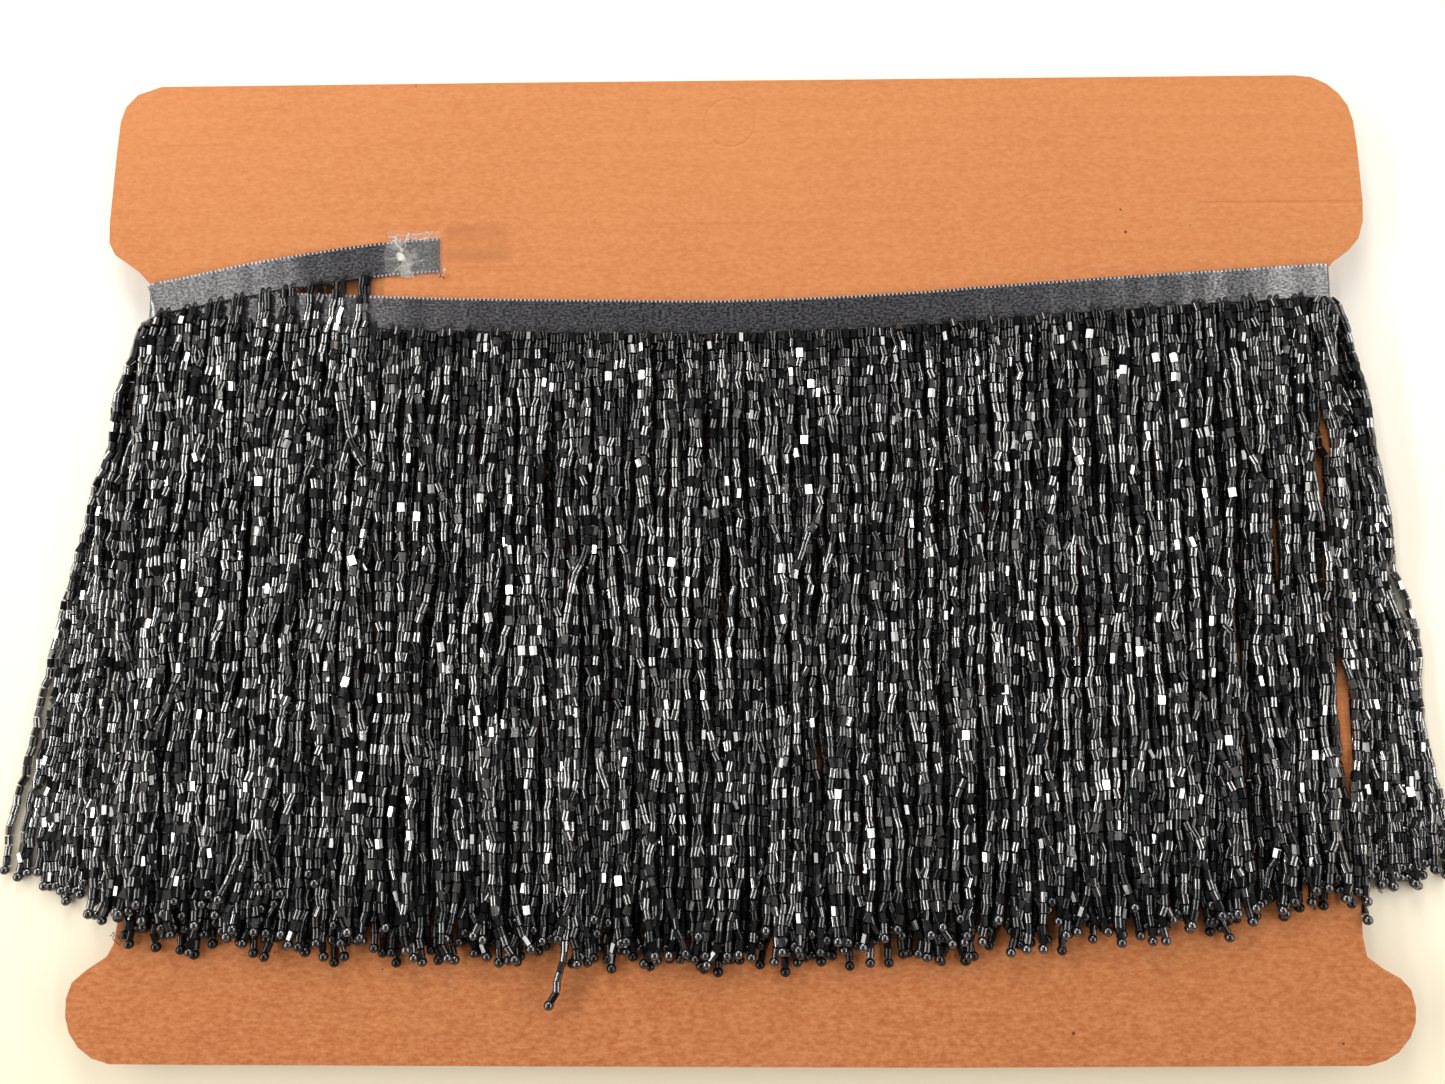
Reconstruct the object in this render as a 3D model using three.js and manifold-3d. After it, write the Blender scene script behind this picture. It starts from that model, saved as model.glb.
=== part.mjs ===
// Beaded fringe trim wound on a notched card.
//
// A satin ribbon carries strands of strung beads along its lower edge. The trim is wound several
// times round the waist of a flat card, and its loose end is taped to the front of the card.
// The card lies on its back: the bead strands behind it rest level on the surface, those in front
// lie on the card in two layers, and those at the two folds fan out beside it onto the surface.
//
// Millimetres. +X runs to the right of the card, +Y towards its top edge and +Z up, out of its
// front. The origin is on the surface, under the middle of the card.

import * as THREE from 'three';
import { mergeVertices } from 'three/addons/utils/BufferGeometryUtils.js';
import Module from 'manifold-3d';

// Card
const CARD_HALF_WIDTH = 186;
const CARD_HALF_HEIGHT = 142;
const CARD_THICKNESS = 3;
const WAIST_HALF_WIDTH = 173.5;
const WAIST_TOP = 84.5;
const WAIST_BOTTOM = -112.5;
const EAR_SLOPE = { across: 6.5, along: 4.5 };
const EAR_ROUNDING = 8.5;
const TOP_CORNER = 17;
const BOTTOM_CORNER = 14.5;

// Layers, from the surface upwards
const GAP = 0.3;
const BACK_PILE = 4.4;
const RIBBON_STACK = 1.8;
const CARD_BACK = BACK_PILE + GAP;
const CARD_FRONT = CARD_BACK + CARD_THICKNESS;
const FRONT_BASE = CARD_FRONT + GAP;
const FRONT_TOP = FRONT_BASE + RIBBON_STACK;

// Winding: the ribbon's upper edge at each fold, and how far it sags between the folds
const RIBBON_WIDTH = 10;
const WINDING_HEIGHT = 10.5;
const LEFT_FOLD_TOP = 79.4;
const RIGHT_FOLD_TOP = 83.6;
const FRONT_SAG = 8.5;
const BACK_SAG = 3;
const WINDING_STEPS = 22;

// Strands
const STRAND_WIDTH = 2.2;
const STRAND_HEIGHT = 1.8;
const LAYER_RISE = STRAND_HEIGHT + GAP;
const ROOT_WIDTH = 1;
const ROOT_HEIGHT = 0.8;
const HANG = 174.5;
const HANG_SPREAD = 2.5;
const STRIP_HEIGHT = 1.6;
const STRAND_FIELD = 170.5;
const OUTER_COUNT = 90;
const INNER_COUNT = OUTER_COUNT - 1;
const BACK_COUNT = 80;
const BACK_STRAND_WIDTH = 3;
const BACK_STRAND_HEIGHT = BACK_PILE - GAP;
const STRAGGLER = { index: 30, extra: 12 };

// Fans at the folds
const FAN_COLUMNS = 2;
const FAN_LEVELS = 7;
const FAN_REACH = 209;
const FAN_ROOT_X = WAIST_HALF_WIDTH + 2.3;
const FAN_COLUMN_PITCH = 1.8;
const FAN_ROOT_LOW = 2.8;
const FAN_LEVEL_PITCH = 1.3;
const FAN_STRAND_WIDTH = 1.8;
const FAN_CURVE = 1.45;
const FAN_SHORTER = 12;
const FAN_HANG = 171;

// Loose end
const LOOSE_THICKNESS = 0.8;
const LOOSE_BASE = FRONT_TOP + GAP;
const LOOSE_LANDING = { from: -116, to: -106 };
const LOOSE_CENTRE = [
  { x: -171, y: 74.4 },
  { x: -156.6, y: 77.3 },
  { x: -139, y: 80.8 },
  { x: -112, y: 85.8 },
  { x: -101, y: 87.6 },
  { x: -86.2, y: 88.3 },
];
const LOOSE_ROOTS = { first: -166.5, last: -108, count: 9 };
const TAPE = { left: -103, right: -83.5, bottom: 82, top: 95.6, thickness: 0.5 };

const COLOURS = { card: 0xd98c55, satin: 0x4a4750, bead: 0x141416, tape: 0xd8d6d2 };

const wasm = await Module();
wasm.setup();

// A repeatable number from -1 to 1 for each pair of whole numbers.
function jitter(i, k) {
  const wave = Math.sin(i * 12.9898 + k * 78.233) * 43758.5453;
  return 2 * (wave - Math.floor(wave)) - 1;
}

const lerp = THREE.MathUtils.lerp;

// 0 at the left fold, 1 at the right fold.
const across = (x) => (x + WAIST_HALF_WIDTH) / (2 * WAIST_HALF_WIDTH);

function windingTop(x, sag) {
  const u = THREE.MathUtils.clamp(across(x), 0, 1);
  return lerp(LEFT_FOLD_TOP, RIGHT_FOLD_TOP, u) - sag * 4 * u * (1 - u);
}

const rootLine = (x, sag) => windingTop(x, sag) - WINDING_HEIGHT - GAP;

// Joins sections, each a list of the same number of points, into one closed skin. An open run of
// sections is capped at both ends, and a ring of them is joined to its start.
function loft(sections, isRing = false) {
  const around = sections[0].length;
  const positions = sections.flat().flatMap((point) => [point.x, point.y, point.z]);
  const index = [];
  const runs = isRing ? sections.length : sections.length - 1;
  for (let s = 0; s < runs; s += 1) {
    const next = (s + 1) % sections.length;
    for (let i = 0; i < around; i += 1) {
      const j = (i + 1) % around;
      const [a, b, c, d] = [s * around + i, s * around + j, next * around + j, next * around + i];
      index.push(a, b, c, a, c, d);
    }
  }
  if (!isRing) {
    const last = (sections.length - 1) * around;
    for (let i = 1; i < around - 1; i += 1) {
      index.push(0, i + 1, i, last, last + i, last + i + 1);
    }
  }
  const geometry = new THREE.BufferGeometry();
  geometry.setAttribute('position', new THREE.Float32BufferAttribute(positions, 3));
  geometry.setIndex(index);
  return signedVolume(geometry) < 0 ? turnedInsideOut(geometry) : geometry;
}

function signedVolume(geometry) {
  const { position } = geometry.attributes;
  const corners = [new THREE.Vector3(), new THREE.Vector3(), new THREE.Vector3()];
  let sum = 0;
  for (let i = 0; i < geometry.index.count; i += 3) {
    corners.forEach((corner, k) => corner.fromBufferAttribute(position, geometry.index.getX(i + k)));
    sum += corners[0].dot(corners[1].cross(corners[2])) / 6;
  }
  return sum;
}

function turnedInsideOut(geometry) {
  const index = Array.from(geometry.index.array);
  for (let i = 0; i < index.length; i += 3) {
    [index[i + 1], index[i + 2]] = [index[i + 2], index[i + 1]];
  }
  geometry.setIndex(index);
  return geometry;
}

function toSolid(geometry) {
  const merged = mergeVertices(geometry, 1e-4);
  return new wasm.Manifold(new wasm.Mesh({
    numProp: 3,
    vertProperties: merged.attributes.position.array,
    triVerts: Uint32Array.from(merged.index.array),
  }));
}

function fuse(geometries) {
  const { vertProperties, triVerts } = geometries.map(toSolid).reduce((a, b) => a.add(b)).getMesh();
  const geometry = new THREE.BufferGeometry();
  geometry.setAttribute('position', new THREE.Float32BufferAttribute(vertProperties, 3));
  geometry.setIndex(Array.from(triVerts));
  return geometry;
}

// The right-hand half of the card's outline, from the middle of its bottom edge to the top.
function cardOutline() {
  const slope = EAR_SLOPE;
  const half = new THREE.Path();
  half.moveTo(0, -CARD_HALF_HEIGHT);
  half.lineTo(CARD_HALF_WIDTH - BOTTOM_CORNER, -CARD_HALF_HEIGHT);
  half.quadraticCurveTo(CARD_HALF_WIDTH - 1, 1 - CARD_HALF_HEIGHT,
    CARD_HALF_WIDTH, BOTTOM_CORNER - CARD_HALF_HEIGHT);
  half.quadraticCurveTo(CARD_HALF_WIDTH, WAIST_BOTTOM - EAR_ROUNDING,
    WAIST_HALF_WIDTH + slope.across, WAIST_BOTTOM - slope.along);
  half.lineTo(WAIST_HALF_WIDTH, WAIST_BOTTOM);
  half.lineTo(WAIST_HALF_WIDTH, WAIST_TOP);
  half.lineTo(WAIST_HALF_WIDTH + slope.across, WAIST_TOP + slope.along);
  half.quadraticCurveTo(CARD_HALF_WIDTH, WAIST_TOP + EAR_ROUNDING,
    CARD_HALF_WIDTH, WAIST_TOP + 2 * EAR_ROUNDING);
  half.lineTo(CARD_HALF_WIDTH - 1, CARD_HALF_HEIGHT - TOP_CORNER);
  half.quadraticCurveTo(CARD_HALF_WIDTH - 2, CARD_HALF_HEIGHT - 1,
    CARD_HALF_WIDTH - TOP_CORNER, CARD_HALF_HEIGHT);
  half.lineTo(0, CARD_HALF_HEIGHT);
  return half.getPoints(5);
}

function card() {
  const right = cardOutline();
  const left = right.slice(1, -1).reverse().map((point) => new THREE.Vector2(-point.x, point.y));
  const board = new THREE.Shape([...right, ...left]);
  const geometry = new THREE.ExtrudeGeometry(board, { depth: CARD_THICKNESS, bevelEnabled: false });
  return geometry.translate(0, 0, CARD_BACK);
}

// The wound form of the ribbon: a flat ring round the waist of the card.
function winding() {
  const inner = WAIST_HALF_WIDTH + GAP;
  const corner = RIBBON_STACK * Math.SQRT1_2;
  const back = CARD_BACK - GAP;
  const stations = [];
  for (let i = 0; i <= WINDING_STEPS; i += 1) {
    const x = lerp(-inner, inner, i / WINDING_STEPS);
    stations.push({ x, z: FRONT_BASE, dx: 0, dz: RIBBON_STACK, sag: FRONT_SAG });
  }
  stations.push({ x: inner, z: FRONT_BASE, dx: corner, dz: corner, sag: 0 });
  stations.push({ x: inner, z: FRONT_BASE, dx: RIBBON_STACK, dz: 0, sag: 0 });
  stations.push({ x: inner, z: back, dx: RIBBON_STACK, dz: 0, sag: 0 });
  stations.push({ x: inner, z: back, dx: corner, dz: -corner, sag: 0 });
  for (let i = WINDING_STEPS; i >= 0; i -= 1) {
    const x = lerp(-inner, inner, i / WINDING_STEPS);
    stations.push({ x, z: back, dx: 0, dz: -RIBBON_STACK, sag: BACK_SAG });
  }
  stations.push({ x: -inner, z: back, dx: -corner, dz: -corner, sag: 0 });
  stations.push({ x: -inner, z: back, dx: -RIBBON_STACK, dz: 0, sag: 0 });
  stations.push({ x: -inner, z: FRONT_BASE, dx: -RIBBON_STACK, dz: 0, sag: 0 });
  stations.push({ x: -inner, z: FRONT_BASE, dx: -corner, dz: corner, sag: 0 });
  return loft(ringSections(stations), true);
}

// Where several stations share an inner point, it is pulled a hair towards the outer one, so that
// the skin has no doubled points.
function ringSections(stations) {
  const inset = 0.02;
  return stations.map(({ x, z, dx, dz, sag }) => {
    const top = windingTop(x, sag);
    const bottom = top - WINDING_HEIGHT;
    const [x0, z0] = [x + dx * inset, z + dz * inset];
    return [
      new THREE.Vector3(x0, top, z0),
      new THREE.Vector3(x + dx, top, z + dz),
      new THREE.Vector3(x + dx, bottom, z + dz),
      new THREE.Vector3(x0, bottom, z0),
    ];
  });
}

// A bar of flat section between low and high, standing on base, with its ends at the stations.
function bar(stations) {
  return loft(stations.map(({ x, low, high, base, height }) => [
    new THREE.Vector3(x, low, base),
    new THREE.Vector3(x, high, base),
    new THREE.Vector3(x, high, base + height),
    new THREE.Vector3(x, low, base + height),
  ]));
}

// The narrow strip that the strands' roots are fused into, along the winding's lower edge.
function rootStrip(sag, base, height) {
  const end = STRAND_FIELD + ROOT_WIDTH;
  const stations = [];
  for (let i = 0; i <= WINDING_STEPS; i += 1) {
    const x = lerp(-end, end, i / WINDING_STEPS);
    const high = rootLine(x, sag);
    stations.push({ x, low: high - STRIP_HEIGHT, high, base, height });
  }
  return bar(stations);
}

// A strand has a flat underside and one ridge, and hangs through its stations.
function strand(stations) {
  return loft(stations.map(({ x, y, z, width, height }) => [
    new THREE.Vector3(x - width / 2, y, z),
    new THREE.Vector3(x + width / 2, y, z),
    new THREE.Vector3(x, y, z + height),
  ]));
}

// How far a strand that starts at x has drifted sideways at the share t of its length.
function drift(x, t) {
  const u = x / WAIST_HALF_WIDTH;
  const easedSway = 1.6 * Math.sin(x / 38 + 2.2 * t + 0.6) + 0.9 * Math.sin(x / 21 + 4 * t);
  return t * (easedSway * (1 - u ** 6) + 2.5 * u ** 5);
}

// A row of strands whose undersides climb from rootBase to base just below the roots.
function strandRow({ count, field, sag, rootBase, base, width, height, seed, straggler }) {
  const pitch = (2 * field) / (count - 1);
  return Array.from({ length: count }, (_, i) => {
    const x = i * pitch - field;
    const start = rootLine(x, sag) - STRIP_HEIGHT / 2;
    const extra = straggler && straggler.index === i ? straggler.extra : 0;
    const hang = HANG + HANG_SPREAD * jitter(i, seed) + extra;
    const full = { width, height };
    const stations = [
      { t: 0, z: rootBase, width: ROOT_WIDTH, height: ROOT_HEIGHT },
      { t: 0.07, z: base, ...full },
      { t: 0.35, z: base, ...full },
      { t: 0.68, z: base, ...full },
      { t: 1, z: base, ...full },
    ];
    return strand(stations.map((station, k) => ({
      ...station,
      x: x + drift(x, station.t) + (k ? 0.3 * jitter(i, seed + k) : 0),
      y: start - hang * station.t,
    })));
  });
}

function frontFringe() {
  const size = { sag: FRONT_SAG, width: STRAND_WIDTH, height: STRAND_HEIGHT };
  const pitch = (2 * STRAND_FIELD) / (OUTER_COUNT - 1);
  const outer = strandRow({
    ...size, count: OUTER_COUNT, field: STRAND_FIELD, seed: 10,
    rootBase: FRONT_TOP - ROOT_HEIGHT - 0.1, base: FRONT_BASE + LAYER_RISE, straggler: STRAGGLER,
  });
  const inner = strandRow({
    ...size, count: INNER_COUNT, field: STRAND_FIELD - pitch / 2, seed: 20,
    rootBase: FRONT_BASE + 0.1, base: FRONT_BASE,
  });
  return fuse([rootStrip(FRONT_SAG, FRONT_BASE, RIBBON_STACK), ...outer, ...inner]);
}

function backFringe() {
  const row = strandRow({
    count: BACK_COUNT, field: STRAND_FIELD - 1, sag: BACK_SAG, seed: 30, rootBase: 0.2, base: 0,
    width: BACK_STRAND_WIDTH, height: BACK_STRAND_HEIGHT,
  });
  return fuse([rootStrip(BACK_SAG, 0, BACK_PILE), ...row]);
}

// The strands at one fold. Their roots stand above each other along the fold, and the stack of
// them topples outwards into two rows on the surface. side is -1 at the left fold, 1 at the right.
function foldFringe(side) {
  const high = rootLine(side * WAIST_HALF_WIDTH, 0);
  const pieces = [bar([WAIST_HALF_WIDTH + GAP, FAN_ROOT_X + FAN_COLUMN_PITCH + 1].map((x) => ({
    x: side * x,
    low: high - STRIP_HEIGHT,
    high,
    base: FAN_ROOT_LOW - GAP,
    height: FAN_LEVELS * FAN_LEVEL_PITCH + GAP,
  })))];
  for (let column = 0; column < FAN_COLUMNS; column += 1) {
    for (let level = 0; level < FAN_LEVELS; level += 1) {
      pieces.push(fanStrand(side, column, level, high - STRIP_HEIGHT / 2));
    }
  }
  return fuse(pieces);
}

function fanStrand(side, column, level, start) {
  const share = level / (FAN_LEVELS - 1);
  const isLowRow = column === FAN_COLUMNS - 1;
  const rootX = FAN_ROOT_X + column * FAN_COLUMN_PITCH;
  const rootZ = FAN_ROOT_LOW + level * FAN_LEVEL_PITCH;
  const outermost = FAN_REACH - FAN_STRAND_WIDTH / 2 - FAN_ROOT_X - FAN_COLUMN_PITCH;
  const restZ = isLowRow ? 0 : LAYER_RISE;
  const hang = FAN_HANG - FAN_SHORTER * share + HANG_SPREAD * jitter(level, side + column);
  const stations = [
    { t: 0, settled: 0, size: 0 },
    { t: 0.07, settled: 0.25, size: 0.1 },
    { t: 0.3, settled: 1, size: 1 },
    { t: 0.62, settled: 1, size: 1 },
    { t: 1, settled: 1, size: 1 },
  ];
  return strand(stations.map(({ t, settled, size }, k) => {
    const spread = 1 - (1 - t) ** FAN_CURVE;
    const isFree = k > 1 && share < 1;
    const wander = isFree ? 0.4 * jitter(level + 9 * column, side * k) * t : 0;
    return {
      x: side * (rootX + share * outermost * spread + wander),
      y: start - hang * t,
      z: lerp(rootZ, restZ, settled),
      width: lerp(ROOT_WIDTH, FAN_STRAND_WIDTH, size),
      height: lerp(ROOT_HEIGHT, STRAND_HEIGHT, size),
    };
  }));
}

const looseCurve = new THREE.CatmullRomCurve3(
  LOOSE_CENTRE.map(({ x, y }) => new THREE.Vector3(x, y, 0)),
);

// The height of the loose end's underside: over the winding first, then down onto the card.
function looseBase(x) {
  const { from, to } = LOOSE_LANDING;
  return lerp(LOOSE_BASE, FRONT_BASE, THREE.MathUtils.smoothstep(x, from, to));
}

// The loose end of the ribbon, round the left fold, over the winding and onto the card.
function looseEnd() {
  const steps = 22;
  const start = LOOSE_CENTRE[0].y;
  const [low, high] = [start - RIBBON_WIDTH / 2, start + RIBBON_WIDTH / 2];
  const inside = RIBBON_STACK + 1.3 * GAP;
  const outside = inside + LOOSE_THICKNESS;
  const edge = -WAIST_HALF_WIDTH - GAP;
  const fold = [
    { angle: 0, z: CARD_BACK },
    { angle: 0, z: FRONT_BASE },
    { angle: 45, z: FRONT_BASE },
    { angle: 90, z: FRONT_BASE },
  ].map(({ angle, z }) => {
    const turned = THREE.MathUtils.degToRad(angle);
    const [c, s] = [Math.cos(turned), Math.sin(turned)];
    return [
      new THREE.Vector3(edge - inside * c, low, z + inside * s),
      new THREE.Vector3(edge - inside * c, high, z + inside * s),
      new THREE.Vector3(edge - outside * c, high, z + outside * s),
      new THREE.Vector3(edge - outside * c, low, z + outside * s),
    ];
  });
  const run = Array.from({ length: steps + 1 }, (_, i) => {
    const centre = looseCurve.getPointAt(i / steps);
    const tangent = looseCurve.getTangentAt(i / steps);
    const aside = new THREE.Vector3(-tangent.y, tangent.x, 0).multiplyScalar(RIBBON_WIDTH / 2);
    const [lower, upper] = [centre.clone().sub(aside), centre.clone().add(aside)];
    const z = looseBase(centre.x);
    return [
      lower.clone().setZ(z),
      upper.clone().setZ(z),
      upper.clone().setZ(z + LOOSE_THICKNESS),
      lower.clone().setZ(z + LOOSE_THICKNESS),
    ];
  });
  return loft([...fold, ...run]);
}

// The lower edge of the loose end at x, measured square to the ribbon.
function looseLowerEdge(x) {
  const [first, last] = [LOOSE_CENTRE[0].x, LOOSE_CENTRE.at(-1).x];
  let share = (x - first) / (last - first);
  for (let i = 0; i < 4; i += 1) {
    share += (x - looseCurve.getPointAt(share).x) / (last - first);
  }
  const tangent = looseCurve.getTangentAt(share);
  return looseCurve.getPointAt(share).y - RIBBON_WIDTH / 2 / tangent.x;
}

function looseFringe() {
  const { first, last, count } = LOOSE_ROOTS;
  const stripHeight = 1.2;
  const steps = 12;
  const strip = Array.from({ length: steps + 1 }, (_, i) => {
    const x = lerp(first - 1, last + 1, i / steps);
    const high = looseLowerEdge(x) - GAP;
    return { x, low: high - stripHeight, high, base: looseBase(x), height: stripHeight };
  });
  const hung = Array.from({ length: count }, (_, i) => looseStrand(
    lerp(first, last, i / (count - 1)) + (i ? 0.6 * jitter(i, 40) : 0), stripHeight, i,
  ));
  return fuse([bar(strip), ...hung]);
}

// A strand of the loose end crosses the winding and lies on the front strands.
function looseStrand(x, stripHeight, i) {
  const start = looseLowerEdge(x) - GAP - stripHeight / 2;
  const topLayer = FRONT_BASE + 2 * LAYER_RISE;
  const hang = HANG + HANG_SPREAD * jitter(i, 50);
  const overEdge = rootLine(x, FRONT_SAG) + GAP;
  const full = { width: STRAND_WIDTH, height: STRAND_HEIGHT };
  const stations = [
    { y: start, z: looseBase(x) + 0.1, width: ROOT_WIDTH, height: ROOT_HEIGHT },
    { y: start - 1.5, z: LOOSE_BASE + 0.1, ...full },
    { y: Math.min(start - 3, overEdge), z: LOOSE_BASE + 0.5, ...full },
    { y: overEdge - 15, z: topLayer + 0.2, ...full },
    { y: start - hang * 0.4, z: topLayer, ...full },
    { y: start - hang * 0.7, z: topLayer, ...full },
    { y: start - hang, z: topLayer, ...full },
  ];
  return strand(stations.map((station, k) => {
    const t = (start - station.y) / hang;
    return { ...station, x: x - 9 * t + drift(x, t) + (k > 2 ? 0.8 * jitter(i, 60 + k) : 0) };
  }));
}

// Clear tape over the tip of the ribbon, stuck down on the card beyond it.
function tape() {
  const { left, right, bottom, top, thickness } = TAPE;
  const tip = LOOSE_CENTRE.at(-1).x + 1;
  const sides = { low: bottom, high: top, height: thickness };
  const overRibbon = [left, left + 2, left + 4, left + 6, tip].map((x) => ({
    x, base: looseBase(x) + LOOSE_THICKNESS + GAP, ...sides,
  }));
  return bar([
    ...overRibbon,
    { x: tip + 0.6, base: FRONT_BASE, ...sides },
    { x: right, base: FRONT_BASE, ...sides },
  ]);
}

function named(name, geometry, material) {
  const mesh = new THREE.Mesh(geometry, material);
  mesh.name = name;
  return mesh;
}

const board = new THREE.MeshStandardMaterial({ color: COLOURS.card, roughness: 0.9 });
const satin = new THREE.MeshStandardMaterial({ color: COLOURS.satin, roughness: 0.5 });
const bead = new THREE.MeshStandardMaterial({ color: COLOURS.bead, roughness: 0.15, metalness: 0.6 });
const clear = new THREE.MeshStandardMaterial({ color: COLOURS.tape, roughness: 0.2 });

const trim = new THREE.Group();
trim.add(
  named('card', card(), board),
  named('ribbon_winding', winding(), satin),
  named('ribbon_loose_end', looseEnd(), satin),
  named('tape', tape(), clear),
  named('fringe_front', frontFringe(), bead),
  named('fringe_back', backFringe(), bead),
  named('fringe_left_fold', foldFringe(-1), bead),
  named('fringe_right_fold', foldFringe(1), bead),
  named('fringe_loose_end', looseFringe(), bead),
);

export default trim;
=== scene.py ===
"""A beaded fringe trim wound on a card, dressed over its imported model.

Tables and named sizes are in millimetres, in the model's own frame: X runs across the card, Y
towards its top edge and Z up out of its front. The origin is on the surface, under its middle.
"""

import math
from functools import partial
from types import SimpleNamespace

import bpy
import numpy as np
from bpy.props import FloatProperty, IntProperty, PointerProperty, StringProperty
from bpy.types import Operator, Panel, PropertyGroup
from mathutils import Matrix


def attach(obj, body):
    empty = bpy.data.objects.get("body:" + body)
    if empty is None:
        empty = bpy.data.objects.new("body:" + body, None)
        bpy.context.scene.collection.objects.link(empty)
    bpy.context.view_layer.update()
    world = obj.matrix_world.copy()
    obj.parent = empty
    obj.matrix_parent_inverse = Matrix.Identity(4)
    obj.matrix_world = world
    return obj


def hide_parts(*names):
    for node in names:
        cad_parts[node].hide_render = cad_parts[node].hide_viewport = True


bl_info = {
    "name": "Beaded Fringe Trim",
    "version": (1, 0, 0),
    "blender": (4, 5, 0),
    "location": "View3D > Sidebar > Fringe",
    "description": "A beaded fringe trim wound on a corrugated card",
    "category": "Object",
}

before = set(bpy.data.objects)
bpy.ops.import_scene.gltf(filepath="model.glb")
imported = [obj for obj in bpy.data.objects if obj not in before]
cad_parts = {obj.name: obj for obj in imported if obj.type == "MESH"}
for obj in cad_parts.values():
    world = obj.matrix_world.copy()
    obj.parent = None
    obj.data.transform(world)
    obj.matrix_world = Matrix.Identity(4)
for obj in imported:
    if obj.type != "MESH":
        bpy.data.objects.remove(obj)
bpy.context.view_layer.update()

MM = 0.001

# Card
CARD_BACK = 4.7
CARD_FRONT = 7.7
LINER = 0.4
WAIST_HALF_WIDTH = 173.5
EDGE_HALF_WIDTH = 172.7
EAR_HALF_WIDTH = 186.0
LOWER_EAR_TOP = -112.5
CARD_OUTLINE = [
    (-172.5, 141.7), (-60.0, 142.0), (60.0, 142.0), (167.5, 142.0),
    (172.6, 141.4), (177.0, 139.3), (180.4, 136.3), (182.9, 132.4), (184.2, 127.6),
    (184.9, 119.3), (185.5, 103.0), (185.2, 96.8), (183.6, 91.6), (180.6, 88.0), (175.7, 84.4),
    (173.4, 81.6), (171.9, 79.6), (171.9, 71.5), (172.8, 66.0), (172.8, -107.3),
    (173.6, -112.4), (177.9, -115.7), (182.4, -118.2), (185.0, -121.1), (186.0, -125.7),
    (185.7, -129.9), (184.0, -133.8), (180.7, -137.6), (177.0, -139.8), (172.1, -141.2),
    (60.0, -142.0), (-60.0, -142.0), (-172.9, -141.8),
    (-177.9, -140.3), (-181.8, -137.4), (-184.6, -133.6), (-185.9, -129.3),
    (-186.0, -124.4), (-184.6, -120.0), (-180.6, -116.6), (-175.2, -113.0),
    (-173.4, -109.6), (-172.7, -104.0), (-172.7, 60.0), (-170.1, 65.0), (-170.1, 77.5), (-173.2, 80.6),
    (-176.4, 84.0), (-183.8, 89.2), (-185.8, 93.0), (-186.0, 99.4), (-185.1, 120.0),
    (-184.4, 130.8), (-183.0, 135.4), (-179.6, 139.2),
]
FLUTE_PITCH = 6.4
FLUTE_HEIGHT = 0.96

# Winding: the ribbon's width and thickness, and how much higher each turn lies than the last
RIBBON = 10.0
RIBBON_THICKNESS = 0.3
TURN_RISE = 0.42
# Where the ribbon turns round the card's crushed edges, by side
FOLDS = {-1: -170.4, 1: 172.4}
WINDING_FRONT = CARD_FRONT + 0.3
WINDING_BACK = CARD_BACK - 0.3
FRONT_EDGE = [
    (-176.0, 79.5), (-165.0, 78.7), (-150.0, 77.6), (-125.0, 76.2), (-103.6, 75.2), (-80.0, 74.4),
    (-50.6, 73.9), (-27.1, 73.5), (-9.5, 73.2), (13.8, 73.6), (34.3, 74.4), (57.6, 75.7),
    (78.0, 77.3), (101.3, 78.9), (121.6, 80.2), (150.6, 81.9), (176.0, 83.4),
]
BACK_SAG = 3.0
LOOSE_CENTRE = [
    (-174.0, 74.5), (-168.0, 75.0), (-163.0, 75.9), (-156.6, 77.3), (-148.0, 79.2),
    (-139.0, 81.0), (-127.3, 82.9), (-112.0, 85.8), (-101.0, 87.4), (-86.4, 88.3),
]
# Where the loose end comes down from the winding onto the card
LOOSE_LANDS = (-132.0, -101.0)
# Half the spacing of the loops along the ribbon's edges
PICOT_STEP = 0.6

# Tape, anticlockwise from its lower left corner
TAPE_CORNERS = [(-103.2, 82.3), (-84.6, 81.2), (-86.9, 95.2), (-102.6, 95.9)]
TAPE_SEED = 3
# Where a painted glare spot sits on the film, in metres. Its crinkles shift it by 1.25 mm each way.
TAPE_PAINTED_GLARE = (-0.0968, 0.0888, 0.0092)

# Long lights parallel to the strands: the angle off the vertical, the width in metres and the
# share of the radiance. Then how far off they hang, and how long they are.
STRIP_LIGHTS = [
    ("strip_light_west", -60.0, 0.12, 1.3), ("strip_light_east", 60.0, 0.12, 0.75),
    ("slim_light_west", -34.5, 0.05, 0.85), ("slim_light_east", 39.2, 0.05, 1.2),
]
STRIP_DISTANCE = 1.1
STRIP_LENGTH = 1.7

# Camera: its place in metres, its turn in degrees and its focal length in the frame's own pixels
CAMERA_PLACE = (0.0014, -0.0304, 0.3259)
CAMERA_TURN = (5.93, 0.83, -0.12)
FOCAL_PIXELS = 1113
FRAME_WIDTH = 1445
SENSOR = 36

# Strands: how far apart the sewn pairs are, half the space in a pair, the length of a stitch, and
# the level rows in which strands are settled
PAIR_PITCH = 7.3
PAIR_HALF = 0.95
STITCH = 1.8
ROW_PITCH = 3.0
ROW_TOP = 84.0
ROWS = 72
# Where the strands in front are sewn from and to, and the loose end's
FRONT_SEWN = (-169.0, 167.5)
LOOSE_SEWN = (-166.5, -108.2)
LOOSE_PAIRS = 9
# The front's strands are four pieces, parted here
QUARTERS = (-88.0, -4.0, 80.0)
# What a strand takes up beside another, half its thickness, how high one looks to lie that rests
# on the surface, and how far above that the camera is
STRAND_ROOM = 1.8
HALF_STRAND = 1.05
SURFACE_LIE = 2
CAMERA_HEIGHT = 324
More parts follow.
